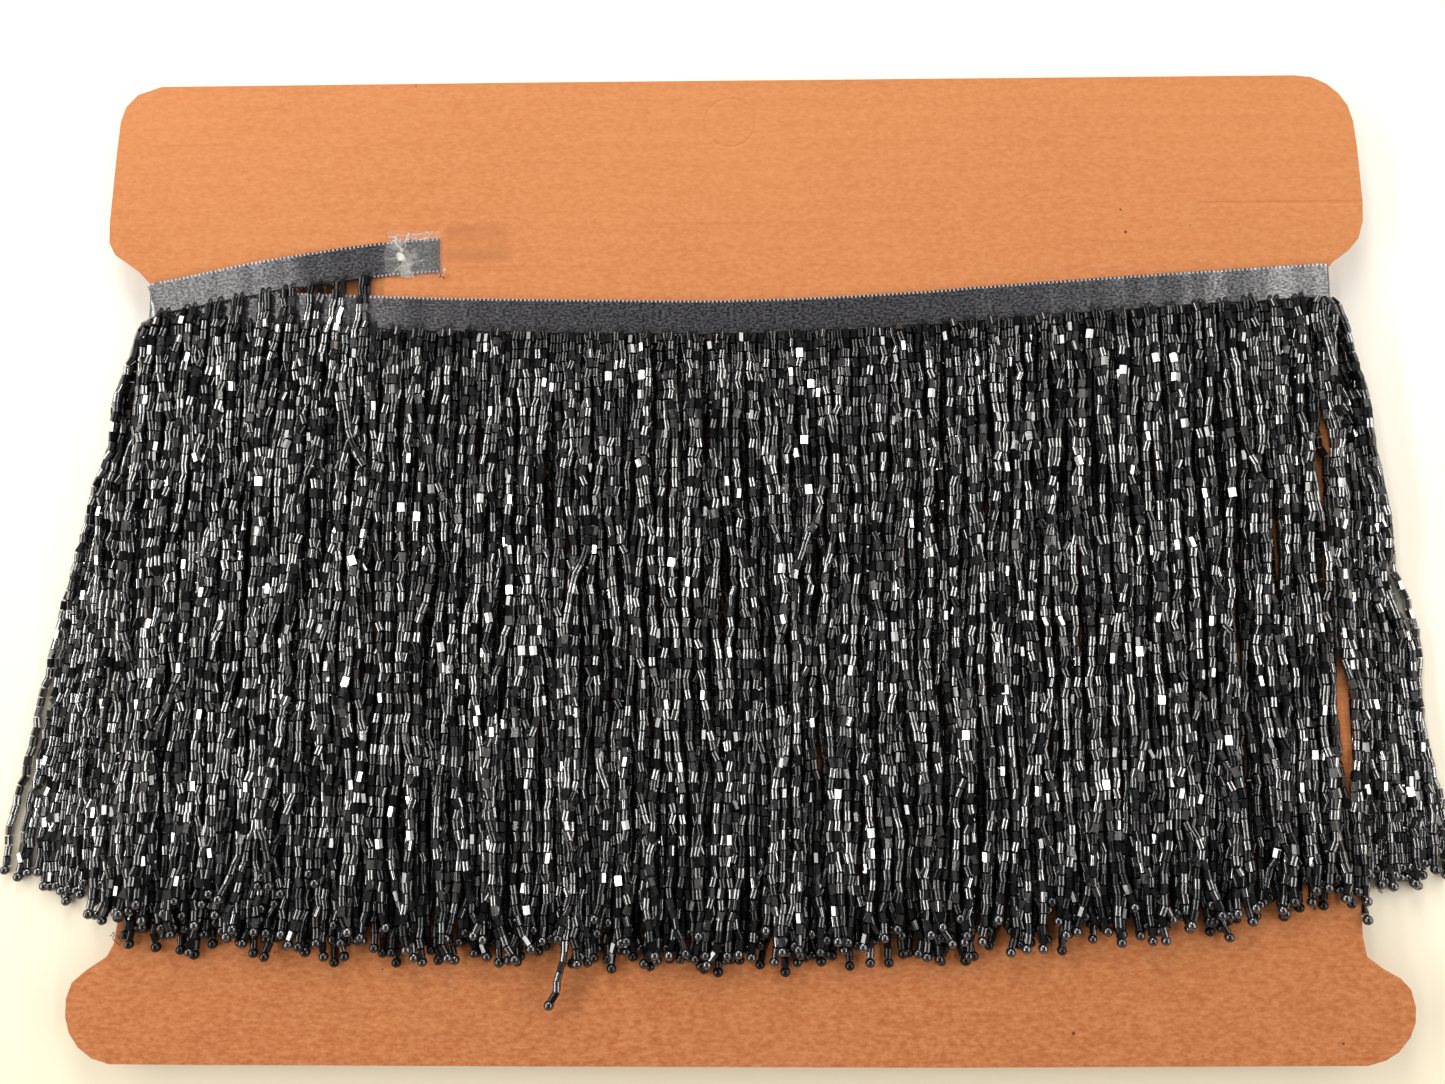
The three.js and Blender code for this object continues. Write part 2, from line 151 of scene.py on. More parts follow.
# The outer edge of each fan, for strands near the surface: the height, and how far out it has got
LEFT_FAN = [
    (71.0, 175.0), (64.9, 178.0), (54.2, 181.2), (46.6, 184.3), (31.4, 184.8), (20.0, 188.8),
    (9.0, 190.8), (-5.8, 194.3), (-20.5, 197.6), (-35.0, 200.6), (-49.4, 202.6), (-63.7, 205.4),
    (-77.9, 208.0), (-110.0, 209.6),
]
RIGHT_FAN = [
    (76.0, 177.0), (72.3, 178.5), (67.4, 181.1), (54.2, 183.2), (46.6, 186.2), (31.4, 186.8),
    (16.4, 189.3), (9.0, 190.2), (-5.8, 190.8), (-13.0, 193.6), (-20.5, 195.4), (-30.0, 196.6),
    (-41.0, 195.3), (-54.0, 196.4), (-63.7, 198.0), (-72.0, 199.8), (-110.0, 200.5),
]
# By height, how far the outermost strand on the right lies from its neighbour
RIGHT_SLIT = [(-4.0, 0.0), (-6.0, 0.8), (-9.0, 2.2), (-18.0, 2.2), (-24.0, 0.0)]
# Where the front's strands part from the right-hand fan, and how far the card shows there
PARTING = [
    (80.0, 168.4, 0.0), (43.0, 169.4, 0.0), (34.0, 170.2, 2.4), (25.0, 171.0, 0.2),
    (14.0, 171.0, 0.6), (2.0, 171.0, 0.3), (-29.0, 170.4, 0.2), (-41.0, 170.4, 2.6),
    (-56.0, 170.6, 2.6), (-68.0, 170.8, 0.0), (-120.0, 171.0, 0.0),
]
STRAGGLER = {"x": -51.5, "extra": 15.0}
# Strands are of turn 0 to 3 of the ribbon, the loose end or a fold
TOP_TURN, LOOSE_END, LEFT_FOLD, RIGHT_FOLD = 3, 4, 5, 6
# Painted shade: how much of a bead's shine is left on each of these, least on the turns deepest in the
# pile
PAINTED_DEPTH_SHADE = np.array([0.06, 0.16, 0.5, 1.0, 1.0, 1.03, 1.0])
BEAD_ATTRIBUTES = {"turn": "QUATERNION", "size": "FLOAT_VECTOR", "kind": "INT", "tone": "FLOAT"}
# Shares of the strands on top that cross their neighbours, and of the cut and the half-worn beads
CROSSING_SHARE = 0.27
CUT_SHARE, HALF_WORN_SHARE = 0.2, 0.4
# Beads are of kind 0 to 2, from cut to worn, or an end bead
END_BEAD = 3
# How much of its shine a strand's first three beads and its last five keep
SHADE_AT_ROOT = (0.15, 0.4, 0.75)
SHADE_AT_TIP = (0.85, 0.7, 0.55, 0.45, 0.4)
# Loose thread ends: where each starts, and how far it wanders a step
LOOSE_THREADS = [
    (-172.0, -106.0, 8.2, 0.8), (-175.0, -104.0, 1.5, 0.9), (174.0, -97.0, 1.4, 0.8),
    (181.0, -95.0, 1.4, 0.7), (-107.0, 81.0, 10.2, 0.5), (-85.5, 82.5, 8.6, 0.5),
]
# Each turn's strands: the heights over the card's face of their roots and of where they lie, how
# far they overlap the ribbon, and how far along it they start
LAYERS = [
    {"root": 1.1, "lie": 1.1, "overlap": -0.9, "start": 0.0},
    {"root": 1.6, "lie": 2.5, "overlap": -0.6, "start": 1.8},
    {"root": 2.2, "lie": 4.0, "overlap": -0.3, "start": 0.9},
    {"root": 3.0, "lie": 5.4, "overlap": 0.5, "start": 4.5},
]


def linear(hex_colour):
    """The linear colour of an sRGB hex value."""
    parts = [int(hex_colour[i:i + 2], 16) / 255 for i in (1, 3, 5)]
    return (*[p / 12.92 if p <= 0.04045 else ((p + 0.055) / 1.055) ** 2.4 for p in parts], 1.0)


# Modelling


def deselect():
    """Leaves edit mode with nothing selected."""
    if bpy.context.object and bpy.context.object.mode != "OBJECT":
        bpy.ops.object.mode_set(mode="OBJECT")
    bpy.ops.object.select_all(action="DESELECT")


def make_active(piece):
    """Selects one piece alone."""
    deselect()
    piece.select_set(True)
    bpy.context.view_layer.objects.active = piece


def apply_modifiers(piece):
    """Applies all of a piece's modifiers to its mesh."""
    make_active(piece)
    for modifier in list(piece.modifiers):
        bpy.ops.object.modifier_apply(modifier=modifier.name)


def mesh_piece(name, points, faces):
    """A new object from points in millimetres."""
    mesh = bpy.data.meshes.new(name)
    mesh.from_pydata((np.asarray(points, dtype=float) * MM).tolist(), [], faces)
    mesh.update()
    piece = bpy.data.objects.new(name, mesh)
    bpy.context.scene.collection.objects.link(piece)
    return piece


def join(name, pieces):
    """Makes several pieces one mesh."""
    make_active(pieces[0])
    for piece in pieces:
        piece.select_set(True)
    bpy.ops.object.join()
    pieces[0].name = name
    pieces[0].data.name = name
    return pieces[0]


def thicken(piece, name, thickness, offset):
    """Adds a modifier that gives a sheet its thickness, in millimetres."""
    solid = piece.modifiers.new(name, "SOLIDIFY")
    solid.thickness = thickness * MM
    solid.offset = offset


def turn_faces_out(piece):
    """Recalculates which way a closed shell's faces point."""
    make_active(piece)
    bpy.ops.object.mode_set(mode="EDIT")
    bpy.ops.mesh.select_all(action="SELECT")
    bpy.ops.mesh.normals_make_consistent(inside=False)
    bpy.ops.object.mode_set(mode="OBJECT")


def tube_faces(first, rings, around):
    """The faces of a closed tube through rings of points, both ends included."""
    faces = []
    for a in range(first, first + (rings - 1) * around, around):
        b = a + around
        faces.extend(
            (a + j, a + (j + 1) % around, b + (j + 1) % around, b + j) for j in range(around)
        )
    end = first + (rings - 1) * around
    return [*faces, tuple(range(first, first + around))[::-1], tuple(range(end, end + around))]


def unit(rows):
    """Rows of coordinates, each scaled to a length of 1."""
    return rows / np.linalg.norm(rows, axis=1)[:, None]


def travel_along(line):
    """How far each point of a line is from its first, along it."""
    return np.concatenate([[0], np.cumsum(np.linalg.norm(np.diff(line, axis=0), axis=1))])


def finish_piece(piece, slot, *nodes, material=None):
    """Gives a piece its material, rides it on the body and stands it in for its nodes."""
    if material:
        piece.data.materials.clear()
        piece.data.materials.append(material)
    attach(piece, "root")
    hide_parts(*nodes)


# Materials


def feed(node, inputs):
    """Sets inputs to values, or links them to a socket or to another node's first output in use."""
    for key, value in inputs.items():
        if isinstance(value, bpy.types.Node):
            value = next(socket for socket in value.outputs if socket.enabled)
        if isinstance(value, bpy.types.NodeSocket):
            node.id_data.links.new(value, node.inputs[key])
        else:
            node.inputs[key].default_value = value


def add_node(tree, kind, inputs=None, **settings):
    """Adds a node with its settings and what feeds its inputs."""
    node = tree.nodes.new(kind)
    for key, value in settings.items():
        setattr(node, key, value)
    feed(node, inputs or {})
    return node


def new_material(name):
    """A new material, the function that adds nodes to it, and its surface shader."""
    material = bpy.data.materials.new(name)
    material.use_nodes = True
    material.node_tree.nodes.clear()
    add = partial(add_node, material.node_tree)
    surface = add("ShaderNodeBsdfPrincipled")
    add("ShaderNodeOutputMaterial", {"Surface": surface})
    return material, add, surface


def box_mask(add, axes, x_range, y_range, soft):
    """1 inside a rectangle on the card, in millimetres, fading to 0 over the soft edge."""
    edges = []
    for axis, (low, high) in (("X", x_range), ("Y", y_range)):
        middle = (low + high) / 2 * MM
        off = add("ShaderNodeMath", {0: axes.outputs[axis], 1: middle}, operation="SUBTRACT")
        off = add("ShaderNodeMath", {0: off}, operation="ABSOLUTE")
        half = (high - low) / 2
        edges.append(add("ShaderNodeMapRange", {
            "Value": off, "From Min": (half + soft) * MM, "From Max": half * MM,
        }))
    return add("ShaderNodeMath", {0: edges[0], 1: edges[1]}, operation="MULTIPLY")


def card_material(colours):
    """Single-wall corrugated board: a matt, fibrous tan liner with the flutes showing through as
    slight relief and faint lines of painted shade.
    """
    material, add, surface = new_material("kraft_corrugated_board")
    place = add("ShaderNodeTexCoord").outputs["Object"]
    axes = add("ShaderNodeSeparateXYZ", {"Vector": place})

    # Broad uneven colour, about 80 mm across.
    clouds = add("ShaderNodeTexNoise", {"Vector": place, "Scale": 13.0, "Detail": 4.0})
    # Paper fibres lie along the flutes. They are 0.1 mm wide and drawn as 1 mm, to show.
    along = add("ShaderNodeMapping", {"Vector": place, "Scale": (480.0, 950.0, 950.0)})
    fibres = add("ShaderNodeTexNoise", {
        "Vector": along, "Scale": 1.0, "Detail": 5.0, "Roughness": 0.7,
    })
    # Faint broken lines of painted shade where the liner dips between the flutes.
    turn = add("ShaderNodeMath", {0: axes.outputs["Y"], 1: 2 * math.pi / (FLUTE_PITCH * MM)},
               operation="MULTIPLY")
    flute = add("ShaderNodeMath", {0: turn}, operation="SINE")
    sharp = add("ShaderNodeMapRange", {"Value": flute, "From Min": 0.86, "From Max": 1.0})
    patch = add("ShaderNodeMapping", {"Vector": place, "Scale": (22.0, 160.0, 22.0)})
    broken = add("ShaderNodeTexNoise", {"Vector": patch, "Scale": 1.0, "Detail": 3.0})
    showing = add("ShaderNodeMapRange", {"Value": broken, "From Min": 0.5, "From Max": 0.72})
    lines = add("ShaderNodeMath", {0: sharp, 1: showing}, operation="MULTIPLY")
    painted_flute_shade = add("ShaderNodeMath", {0: lines, 1: 0.13}, operation="MULTIPLY")
    # Dark flecks of pulp, about 1 mm across and 10 mm apart, in three places of ten.
    flecks = add("ShaderNodeTexVoronoi", {"Vector": place, "Scale": 95.0})
    dark = add("ShaderNodeMapRange", {"Value": flecks, "From Min": 0.055, "From Max": 0.03})
    tone = add("ShaderNodeSeparateColor", {"Color": flecks.outputs["Color"]})
    few = add("ShaderNodeMath", {0: tone.outputs["Red"], 1: 0.7}, operation="GREATER_THAN")
    dark = add("ShaderNodeMath", {0: dark, 1: few}, operation="MULTIPLY")
    grain = add("ShaderNodeMapRange", {
        "Value": fibres, "From Min": 0.36, "From Max": 0.66, "To Min": 0.0, "To Max": 0.75,
    })
    # A darker patch where an older piece of tape has been.
    patchy = add("ShaderNodeMapRange", {
        "Value": broken, "From Min": 0.3, "From Max": 0.6, "To Min": 0.15, "To Max": 0.5,
    })
    stain = box_mask(add, axes, (-84.0, -67.0), (87.5, 96.5), 2.2)
    stain = add("ShaderNodeMath", {0: stain, 1: patchy}, operation="MULTIPLY")

    # Painted light falloff: paler and yellower towards the top edge, deeper and redder towards the
    # lower one.
    clouds_and_painted_falloff = add("ShaderNodeMapRange", {
        "Value": axes.outputs["Y"],
        "From Min": -0.14, "From Max": 0.14, "To Min": -0.15, "To Max": 0.6,
    })
    clouds_and_painted_falloff = add("ShaderNodeMath", {0: clouds, 1: 0.55, 2: clouds_and_painted_falloff},
               operation="MULTIPLY_ADD", use_clamp=True)
    base = linear(colours.card_deep)
    for share, colour in (
        (clouds_and_painted_falloff, colours.card), (grain, colours.card_pale),
        (painted_flute_shade, "#7A4526"), (dark, "#5C301A"), (stain, "#A2683F"),
    ):
        base = add("ShaderNodeMix", {"Factor": share, "A": base, "B": linear(colour)},
                   data_type="RGBA")

    # The pressed ring near the top edge and the crease by the right-hand ear.
    centre = (-0.0006, 0.1287, CARD_FRONT * MM)
    centre = add("ShaderNodeVectorMath", {0: place, 1: centre}, operation="DISTANCE")
    rim = add("ShaderNodeMath", {0: centre, 1: 0.0075}, operation="SUBTRACT")
    rim = add("ShaderNodeMath", {0: rim}, operation="ABSOLUTE")
    rim = add("ShaderNodeMapRange", {"Value": rim, "From Min": 0.0006, "From Max": 0.0})
    crease = box_mask(add, axes, (138.0, 190.0), (102.2, 102.8), 0.5)
    pressed = add("ShaderNodeMath", {0: rim, 1: crease}, operation="ADD")
    relief = add("ShaderNodeMath", {0: flute, 1: 0.08}, operation="MULTIPLY")
    for form, depth in ((fibres, 0.12), (dark, -0.15), (pressed, -0.35)):
        relief = add("ShaderNodeMath", {0: form, 1: depth, 2: relief}, operation="MULTIPLY_ADD")
    bump = add("ShaderNodeBump", {"Height": relief, "Strength": 0.6, "Distance": 0.0006})
    feed(surface, {
        "Base Color": base, "Normal": bump, "Roughness": 0.88, "Specular IOR Level": 0.25,
    })
    return material


def satin_material(colours):
    """Polyester satin ribbon: dark and grainy, with painted sparkle and painted shade in its grain,
    and a soft lustre where it faces a light.
    """
    material, add, surface = new_material("woven_satin")
    ribbon = add("ShaderNodeUVMap", uv_map="ribbon")
    # Warp floats run along the ribbon, 0.1 mm apart and drawn as 0.6 mm, to show.
    along = add("ShaderNodeMapping", {"Vector": ribbon, "Scale": (1050.0, 1800.0, 1.0)})
    floats = add("ShaderNodeTexNoise", {"Vector": along, "Scale": 1.0, "Detail": 3.0})
    grain = add("ShaderNodeMapRange", {"Value": floats, "From Min": 0.41, "From Max": 0.61})
    # Soft rumples 9 mm long.
    rumple = add("ShaderNodeMapping", {"Vector": ribbon, "Scale": (110.0, 190.0, 1.0)})
    rumple = add("ShaderNodeTexNoise", {"Vector": rumple, "Scale": 1.0, "Detail": 3.0})
    # The grain follows the warp floats: its pale colour is painted sparkle where a float catches the
    # light, its dark one painted shade between floats.
    shade = add("ShaderNodeMix", {
        "Factor": grain, "A": linear(colours.satin_deep), "B": linear(colours.satin),
    }, data_type="RGBA")
    # The looped edge: pale dots in the outer 0.5 mm, 0.9 mm apart and drawn as 1.2 mm, to show.
    axes = add("ShaderNodeSeparateXYZ", {"Vector": ribbon})
    off = add("ShaderNodeMath", {0: axes.outputs["Y"]}, operation="ABSOLUTE")
    edge = add("ShaderNodeMapRange", {"Value": off, "From Min": 0.0045, "From Max": 0.0046})
    phase = add("ShaderNodeMath", {0: axes.outputs["X"], 1: math.pi / (PICOT_STEP * MM)},
                operation="MULTIPLY")
    dots = add("ShaderNodeMath", {0: phase}, operation="COSINE")
    dots = add("ShaderNodeMapRange", {"Value": dots, "From Min": 0.0, "From Max": 0.5})
    loops = add("ShaderNodeMix", {
        "Factor": dots, "A": linear("#0B0B0D"), "B": linear("#B5B1B8"),
    }, data_type="RGBA")
    shade = add("ShaderNodeMix", {"Factor": edge, "A": shade, "B": loops}, data_type="RGBA")
    # The lustre is broken by the grain.
    lustre = add("ShaderNodeMapRange", {"Value": grain, "To Min": 0.36, "To Max": 0.95})
    relief = add("ShaderNodeMath", {0: floats, 1: 0.3}, operation="MULTIPLY")
    relief = add("ShaderNodeMath", {0: rumple, 1: 2.0, 2: relief}, operation="MULTIPLY_ADD")
    bump = add("ShaderNodeBump", {"Height": relief, "Strength": 0.55, "Distance": 0.00025})
    feed(surface, {
        "Base Color": shade, "Specular IOR Level": lustre, "Normal": bump,
        "Roughness": 0.28, "IOR": 2.0,
    })
    return material


def bead_material(colours):
    """Cut jet glass with a thin metal lustre: near black, with a hard bright glint on a facet."""
    material, add, surface = new_material("lustred_jet_glass")
    # Tone: a bead's own random shine, lowered as painted shade deep in the pile and at a strand's root
    # and tip. It sets the colour, polish and lustre.
    tone = add("ShaderNodeAttribute", attribute_name="tone").outputs["Fac"]
    shade = add("ShaderNodeMix", {
        "Factor": tone, "A": linear(colours.bead_deep), "B": linear(colours.bead),
    }, data_type="RGBA")
    polish = add("ShaderNodeMapRange", {"Value": tone, "To Min": 0.05, "To Max": 0.13})
    lustre = add("ShaderNodeMapRange", {"Value": tone, "To Min": 0.04, "To Max": 1.0})
    feed(surface, {
        "Base Color": shade, "Roughness": polish, "Specular IOR Level": lustre, "IOR": 3.0,
    })
    return material


def thread_material():
    """Spun polyester sewing thread, matt black. Its 0.3 mm ply is drawn as 1.1 mm, to show."""
    material, add, surface = new_material("sewing_thread")
    place = add("ShaderNodeTexCoord").outputs["Object"]
    ply = add("ShaderNodeTexNoise", {"Vector": place, "Scale": 900.0, "Detail": 2.0})
    shade = add("ShaderNodeMix", {
        "Factor": ply, "A": linear("#0B0B0C"), "B": linear("#242226"),
    }, data_type="RGBA")
    feed(surface, {"Base Color": shade, "Roughness": 0.8})
    return material


def tape_material():
    """Clear polypropylene tape: thin, glossy and crinkled, with creases about 6 mm apart."""
    material, add, surface = new_material("clear_tape")
    place = add("ShaderNodeTexCoord").outputs["Object"]
    cells = add("ShaderNodeTexNoise", {"Vector": place, "Scale": 260.0, "Detail": 2.0})
    bent = add("ShaderNodeVectorMath", {
        0: cells.outputs["Color"], 1: (0.0025, 0.0025, 0.0), 2: place,
    }, operation="MULTIPLY_ADD")
    creases = add("ShaderNodeTexVoronoi", {"Vector": bent, "Scale": 170.0},
                  feature="DISTANCE_TO_EDGE")
    line = add("ShaderNodeMapRange", {
        "Value": creases, "From Min": 0.025, "From Max": 0.005, "To Min": 0.0, "To Max": 0.6,
    })
    # Where the film has lifted it turns milky, with painted sheen, and the creases show there, and
    # near the glare spot, as pale lines of painted glint.
    lifted = add("ShaderNodeTexNoise", {"Vector": place, "Scale": 150.0, "Detail": 2.0})
    away = add("ShaderNodeVectorMath", {0: bent, 1: TAPE_PAINTED_GLARE}, operation="DISTANCE")
    shown = add("ShaderNodeMapRange", {"Value": lifted, "From Min": 0.5, "From Max": 0.57})
    near = add("ShaderNodeMapRange", {
        "Value": away, "From Min": 0.008, "From Max": 0.003, "To Max": 0.6,
    })
    shown = add("ShaderNodeMath", {0: shown, 1: near}, operation="MAXIMUM")
    haze_and_painted_glints = add("ShaderNodeMath", {0: line, 1: shown}, operation="MULTIPLY")
    milky_and_painted_sheen = add("ShaderNodeMapRange", {
        "Value": lifted, "From Min": 0.58, "From Max": 0.78, "To Min": 0.05, "To Max": 0.45,
    })
    # A round painted glare: the film made pale and opaque where it would mirror a light.
    painted_glare = add("ShaderNodeMapRange", {
        "Value": away, "From Min": 0.0019, "From Max": 0.0009, "To Min": 0.0, "To Max": 1.0,
    }, interpolation_type="SMOOTHERSTEP")
    for layer in (milky_and_painted_sheen, painted_glare):
        haze_and_painted_glints = add("ShaderNodeMath", {0: haze_and_painted_glints, 1: layer}, operation="MAXIMUM")
    bump = add("ShaderNodeBump", {"Height": creases, "Strength": 0.8, "Distance": 0.0008})
    # The pale colour, where the film is made opaque, is its milky haze with painted sheen, crinkle
    # glints and glare.
    feed(surface, {
        "Alpha": haze_and_painted_glints, "Normal": bump,
        "Base Color": linear("#D9D6D2"), "Roughness": 0.12, "Coat Weight": 1.0,
    })
    return material


def floor_material(colours):
    """A smooth painted table top, warm white."""
    material, add, surface = new_material("painted_table_top")
    place = add("ShaderNodeTexCoord").outputs["Object"]
    clouds = add("ShaderNodeTexNoise", {"Vector": place, "Scale": 4.0, "Detail": 2.0})
    axes = add("ShaderNodeSeparateXYZ", {"Vector": place})
    # Painted light falloff: whiter towards the top edge and creamier towards the lower one, with
    # uneven clouds 250 mm across.
    clouds_and_painted_falloff = add("ShaderNodeMapRange", {
        "Value": axes.outputs["Y"], "From Min": -0.16, "From Max": 0.12,
    })
    clouds_and_painted_falloff = add("ShaderNodeMath", {0: clouds, 1: 0.3, 2: clouds_and_painted_falloff},
               operation="MULTIPLY_ADD", use_clamp=True)
    shade = add("ShaderNodeMix", {
        "Factor": clouds_and_painted_falloff, "A": linear("#F4E6C6"), "B": linear(colours.floor),
    }, data_type="RGBA")
    feed(surface, {"Base Color": shade, "Roughness": 0.55})
    return material


# The lay of the strands


def smoothed(table, x, reach, count):
    """A table's height at x, as the mean of several places close by."""
    table = np.array(table)
    steps = np.linspace(-reach, reach, count)
    return np.mean([np.interp(x + step, table[:, 0], table[:, 1]) for step in steps], axis=0)


def front_edge(x):
    """The upper edge of the outermost turn in front."""
    return smoothed(FRONT_EDGE, x, 6.0, 7)


def back_edge(x):
    """The upper edge of the turns behind the card, which sag between the folds."""
    u = np.clip((x + WAIST_HALF_WIDTH) / (2 * WAIST_HALF_WIDTH), 0, 1)
    ends = np.interp(u, [0, 1], [front_edge(FOLDS[-1]), front_edge(FOLDS[1])])
    return ends - BACK_SAG * 4 * u * (1 - u)


def loose_centre(x):
    """The middle line of the loose end."""
    return smoothed(LOOSE_CENTRE, x, 4.0, 5)


def loose_height(x):
    """The middle of the loose end's thickness: over the winding, then down onto the card."""
    t = np.clip((x - LOOSE_LANDS[0]) / (LOOSE_LANDS[1] - LOOSE_LANDS[0]), 0, 1)
    share = t * t * (3 - 2 * t)
    return (WINDING_FRONT + 0.2 + TURN_RISE * 4) * (1 - share) + (CARD_FRONT + 0.3) * share


def sway(x, t):
    """How far the whole pile has drifted sideways at the share t of a strand's length."""
    u = x / WAIST_HALF_WIDTH
    eased = 1.6 * np.sin(x / 38 + 2.2 * t + 0.6) + 0.9 * np.sin(x / 21 + 4 * t)
    return t * (eased * (1 - u ** 6) + 2.5 * u ** 5)


def wander(rng, count, t):
    """Each strand's own slow waves: a row for every level, a column for every strand."""
    total = np.zeros((len(t), count))
    for cycles, reach in ((1.4, 1.3), (3.1, 0.75), (6.5, 0.35), (13.0, 0.2)):
        phase = rng.uniform(0, 2 * math.pi, count)
        turns = cycles * rng.uniform(0.75, 1.25, count)
        size = reach * rng.normal(1.0, 0.35, count)
        total += size * np.sin(2 * math.pi * turns * t + phase)
    return total * np.minimum(1, t * 5)


class Strands:
    """Strands that hang from their roots through level rows, one column each."""

    def __init__(self, root, length, aim, height):
        self.root = root
        self.length = length
        self.levels = ROW_TOP - ROW_PITCH * np.arange(ROWS)
        down = root[:, 1] - self.levels[:, None]
        self.share = np.clip(down / length, 0, 1)
        self.live = (down > 0.6) & (down < length + ROW_PITCH)
        self.aim = aim(self.share)
        self.x = np.where(self.live, self.aim, root[:, 0])
        self.z = np.where(self.live, height(self.share), root[:, 2])

    def along(self, i, distances):
        """The points that lie at the given distances down strand i."""
        rows = np.flatnonzero(self.live[:, i])
        line = np.stack([self.x[rows, i], self.levels[rows], self.z[rows, i]], axis=1)
        line = np.concatenate([self.root[i:i + 1], line])
        travel = travel_along(line)
        return np.stack([np.interp(distances, travel, line[:, k]) for k in range(3)], axis=1)

    def move(self, where, x=None, z=None):
        """Gives live points new places where the mask holds."""
        where = self.live & where
        self.x = self.x if x is None else np.where(where, x, self.x)
        self.z = self.z if z is None else np.where(where, z, self.z)

    def push_apart(self, width, reach):
        """Moves strands that overlap in a row away from each other, across and up or down."""
        parked = 1e4 + 50 * np.arange(self.x.shape[1])
        placed = np.where(self.live, self.x, parked)
        order = np.argsort(placed, axis=1)
        x = np.take_along_axis(placed, order, axis=1)
        z = np.take_along_axis(self.z, order, axis=1)
        move_x = np.zeros_like(x)
        move_z = np.zeros_like(z)
        for step in range(1, reach + 1):
            dx = x[:, step:] - x[:, :-step]
            dz = z[:, step:] - z[:, :-step]
            apart = np.hypot(dx, dz) + 1e-6
            push = np.clip(width - apart, 0, None) * 0.36 / apart
            move_x[:, step:] += push * dx
            move_x[:, :-step] -= push * dx
            move_z[:, step:] += push * dz
            move_z[:, :-step] -= push * dz
        back = np.argsort(order, axis=1)
        self.x += np.where(self.live, np.take_along_axis(move_x, back, axis=1), 0)
        self.z += np.where(self.live, np.take_along_axis(move_z, back, axis=1), 0)

    def smooth(self, share):
        """Draws each strand towards the line between the rows above and below."""
        inner = self.live[1:-1] & self.live[2:]
        for line in (self.x, self.z):
            middle = (line[:-2] + line[2:]) / 2
            line[1:-1] += np.where(inner, share * (middle - line[1:-1]), 0)


def table_at(table, levels, column=1):
    """A table's column at the given heights. Its first column is the height, falling."""
    return np.interp(-levels, [-row[0] for row in table], [row[column] for row in table])


def from_under(share):
    """Which strands of a fan come out from under the card, by how far out they end up."""
    return (share > 0.25) & (share < 0.75)


def outermost(count):
    """Which strand is the outermost on the right. It is the last."""
    return np.arange(count) == count - 1


def rest_on_card(strands, radius, side, under):
    """Keeps strands over or under the card, outside its edge and inside their fan's outer edge."""
    half = np.where(strands.levels > LOWER_EAR_TOP, EDGE_HALF_WIDTH, EAR_HALF_WIDTH)[:, None]
    over = np.abs(strands.x) - half
    rounding = np.sqrt(np.clip(radius ** 2 - np.clip(over, 0, radius) ** 2, 0, None))
    below = under & (over < radius)
    beside = (over > 0) & (over < radius) & (strands.z < CARD_FRONT) & ~below
    floor = np.where((over < radius) & ~beside & ~below, CARD_FRONT + rounding, radius)
    strands.move(True, z=np.maximum(strands.z, floor))
    strands.move(below, z=np.minimum(strands.z, CARD_BACK - 1.3))
    strands.move(beside, x=np.sign(strands.x) * (half + radius))
    left, right, slit = (
        table_at(table, strands.levels)[:, None] for table in (LEFT_FAN, RIGHT_FAN, RIGHT_SLIT)
    )
    edge = np.where(side < 0, left, right)
    # The tables hold as the camera sees strands near the surface. A high one looks further out.
    edge = side * edge * (1 - (strands.z - SURFACE_LIE) / CAMERA_HEIGHT)
    # The outermost on the right lies apart from the others for a short stretch.
    slit = np.where(side > 0, slit, 0)
    is_last = outermost(len(strands.root))
    strands.move(is_last & (slit > 0), x=np.maximum(strands.x, edge - 0.2))
    edge = edge - np.where((slit > 0) & ~is_last, STRAND_ROOM + slit, 0)
    strands.move(side * (strands.x - edge) > 0, x=edge)


def settle(strands, width, passes, keep_out, fall):
    """Draws strands to their aim and down, pass by pass, and pushes apart those that overlap."""
    for turn in range(passes):
        ease = 1 - turn / passes
        towards = strands.x + 0.05 * (strands.aim - strands.x)
        strands.move(True, x=towards, z=strands.z - fall * ease)
        for _ in range(3):
            strands.push_apart(width, 10)
            keep_out(strands)
        strands.smooth(0.35 * ease)
    for _ in range(6):
        strands.push_apart(width, 10)
        keep_out(strands)


def root_pairs(rng, first, last):
    """Places along the ribbon where strands are sewn on two by two."""
    middles = np.arange(first, last, PAIR_PITCH)
    middles = middles + rng.normal(0, 0.4, len(middles))
    return np.stack([middles - PAIR_HALF, middles + PAIR_HALF], axis=1).ravel()


def front_lengths(x, usual):
    """Strands at the right lie in deeper waves and reach less far down than those at the left."""
    return usual + 1.5 - np.clip((x - 128) / 42, 0, 1) * 8.5 + np.clip((-x - 130) / 40, 0, 1) * 1.5


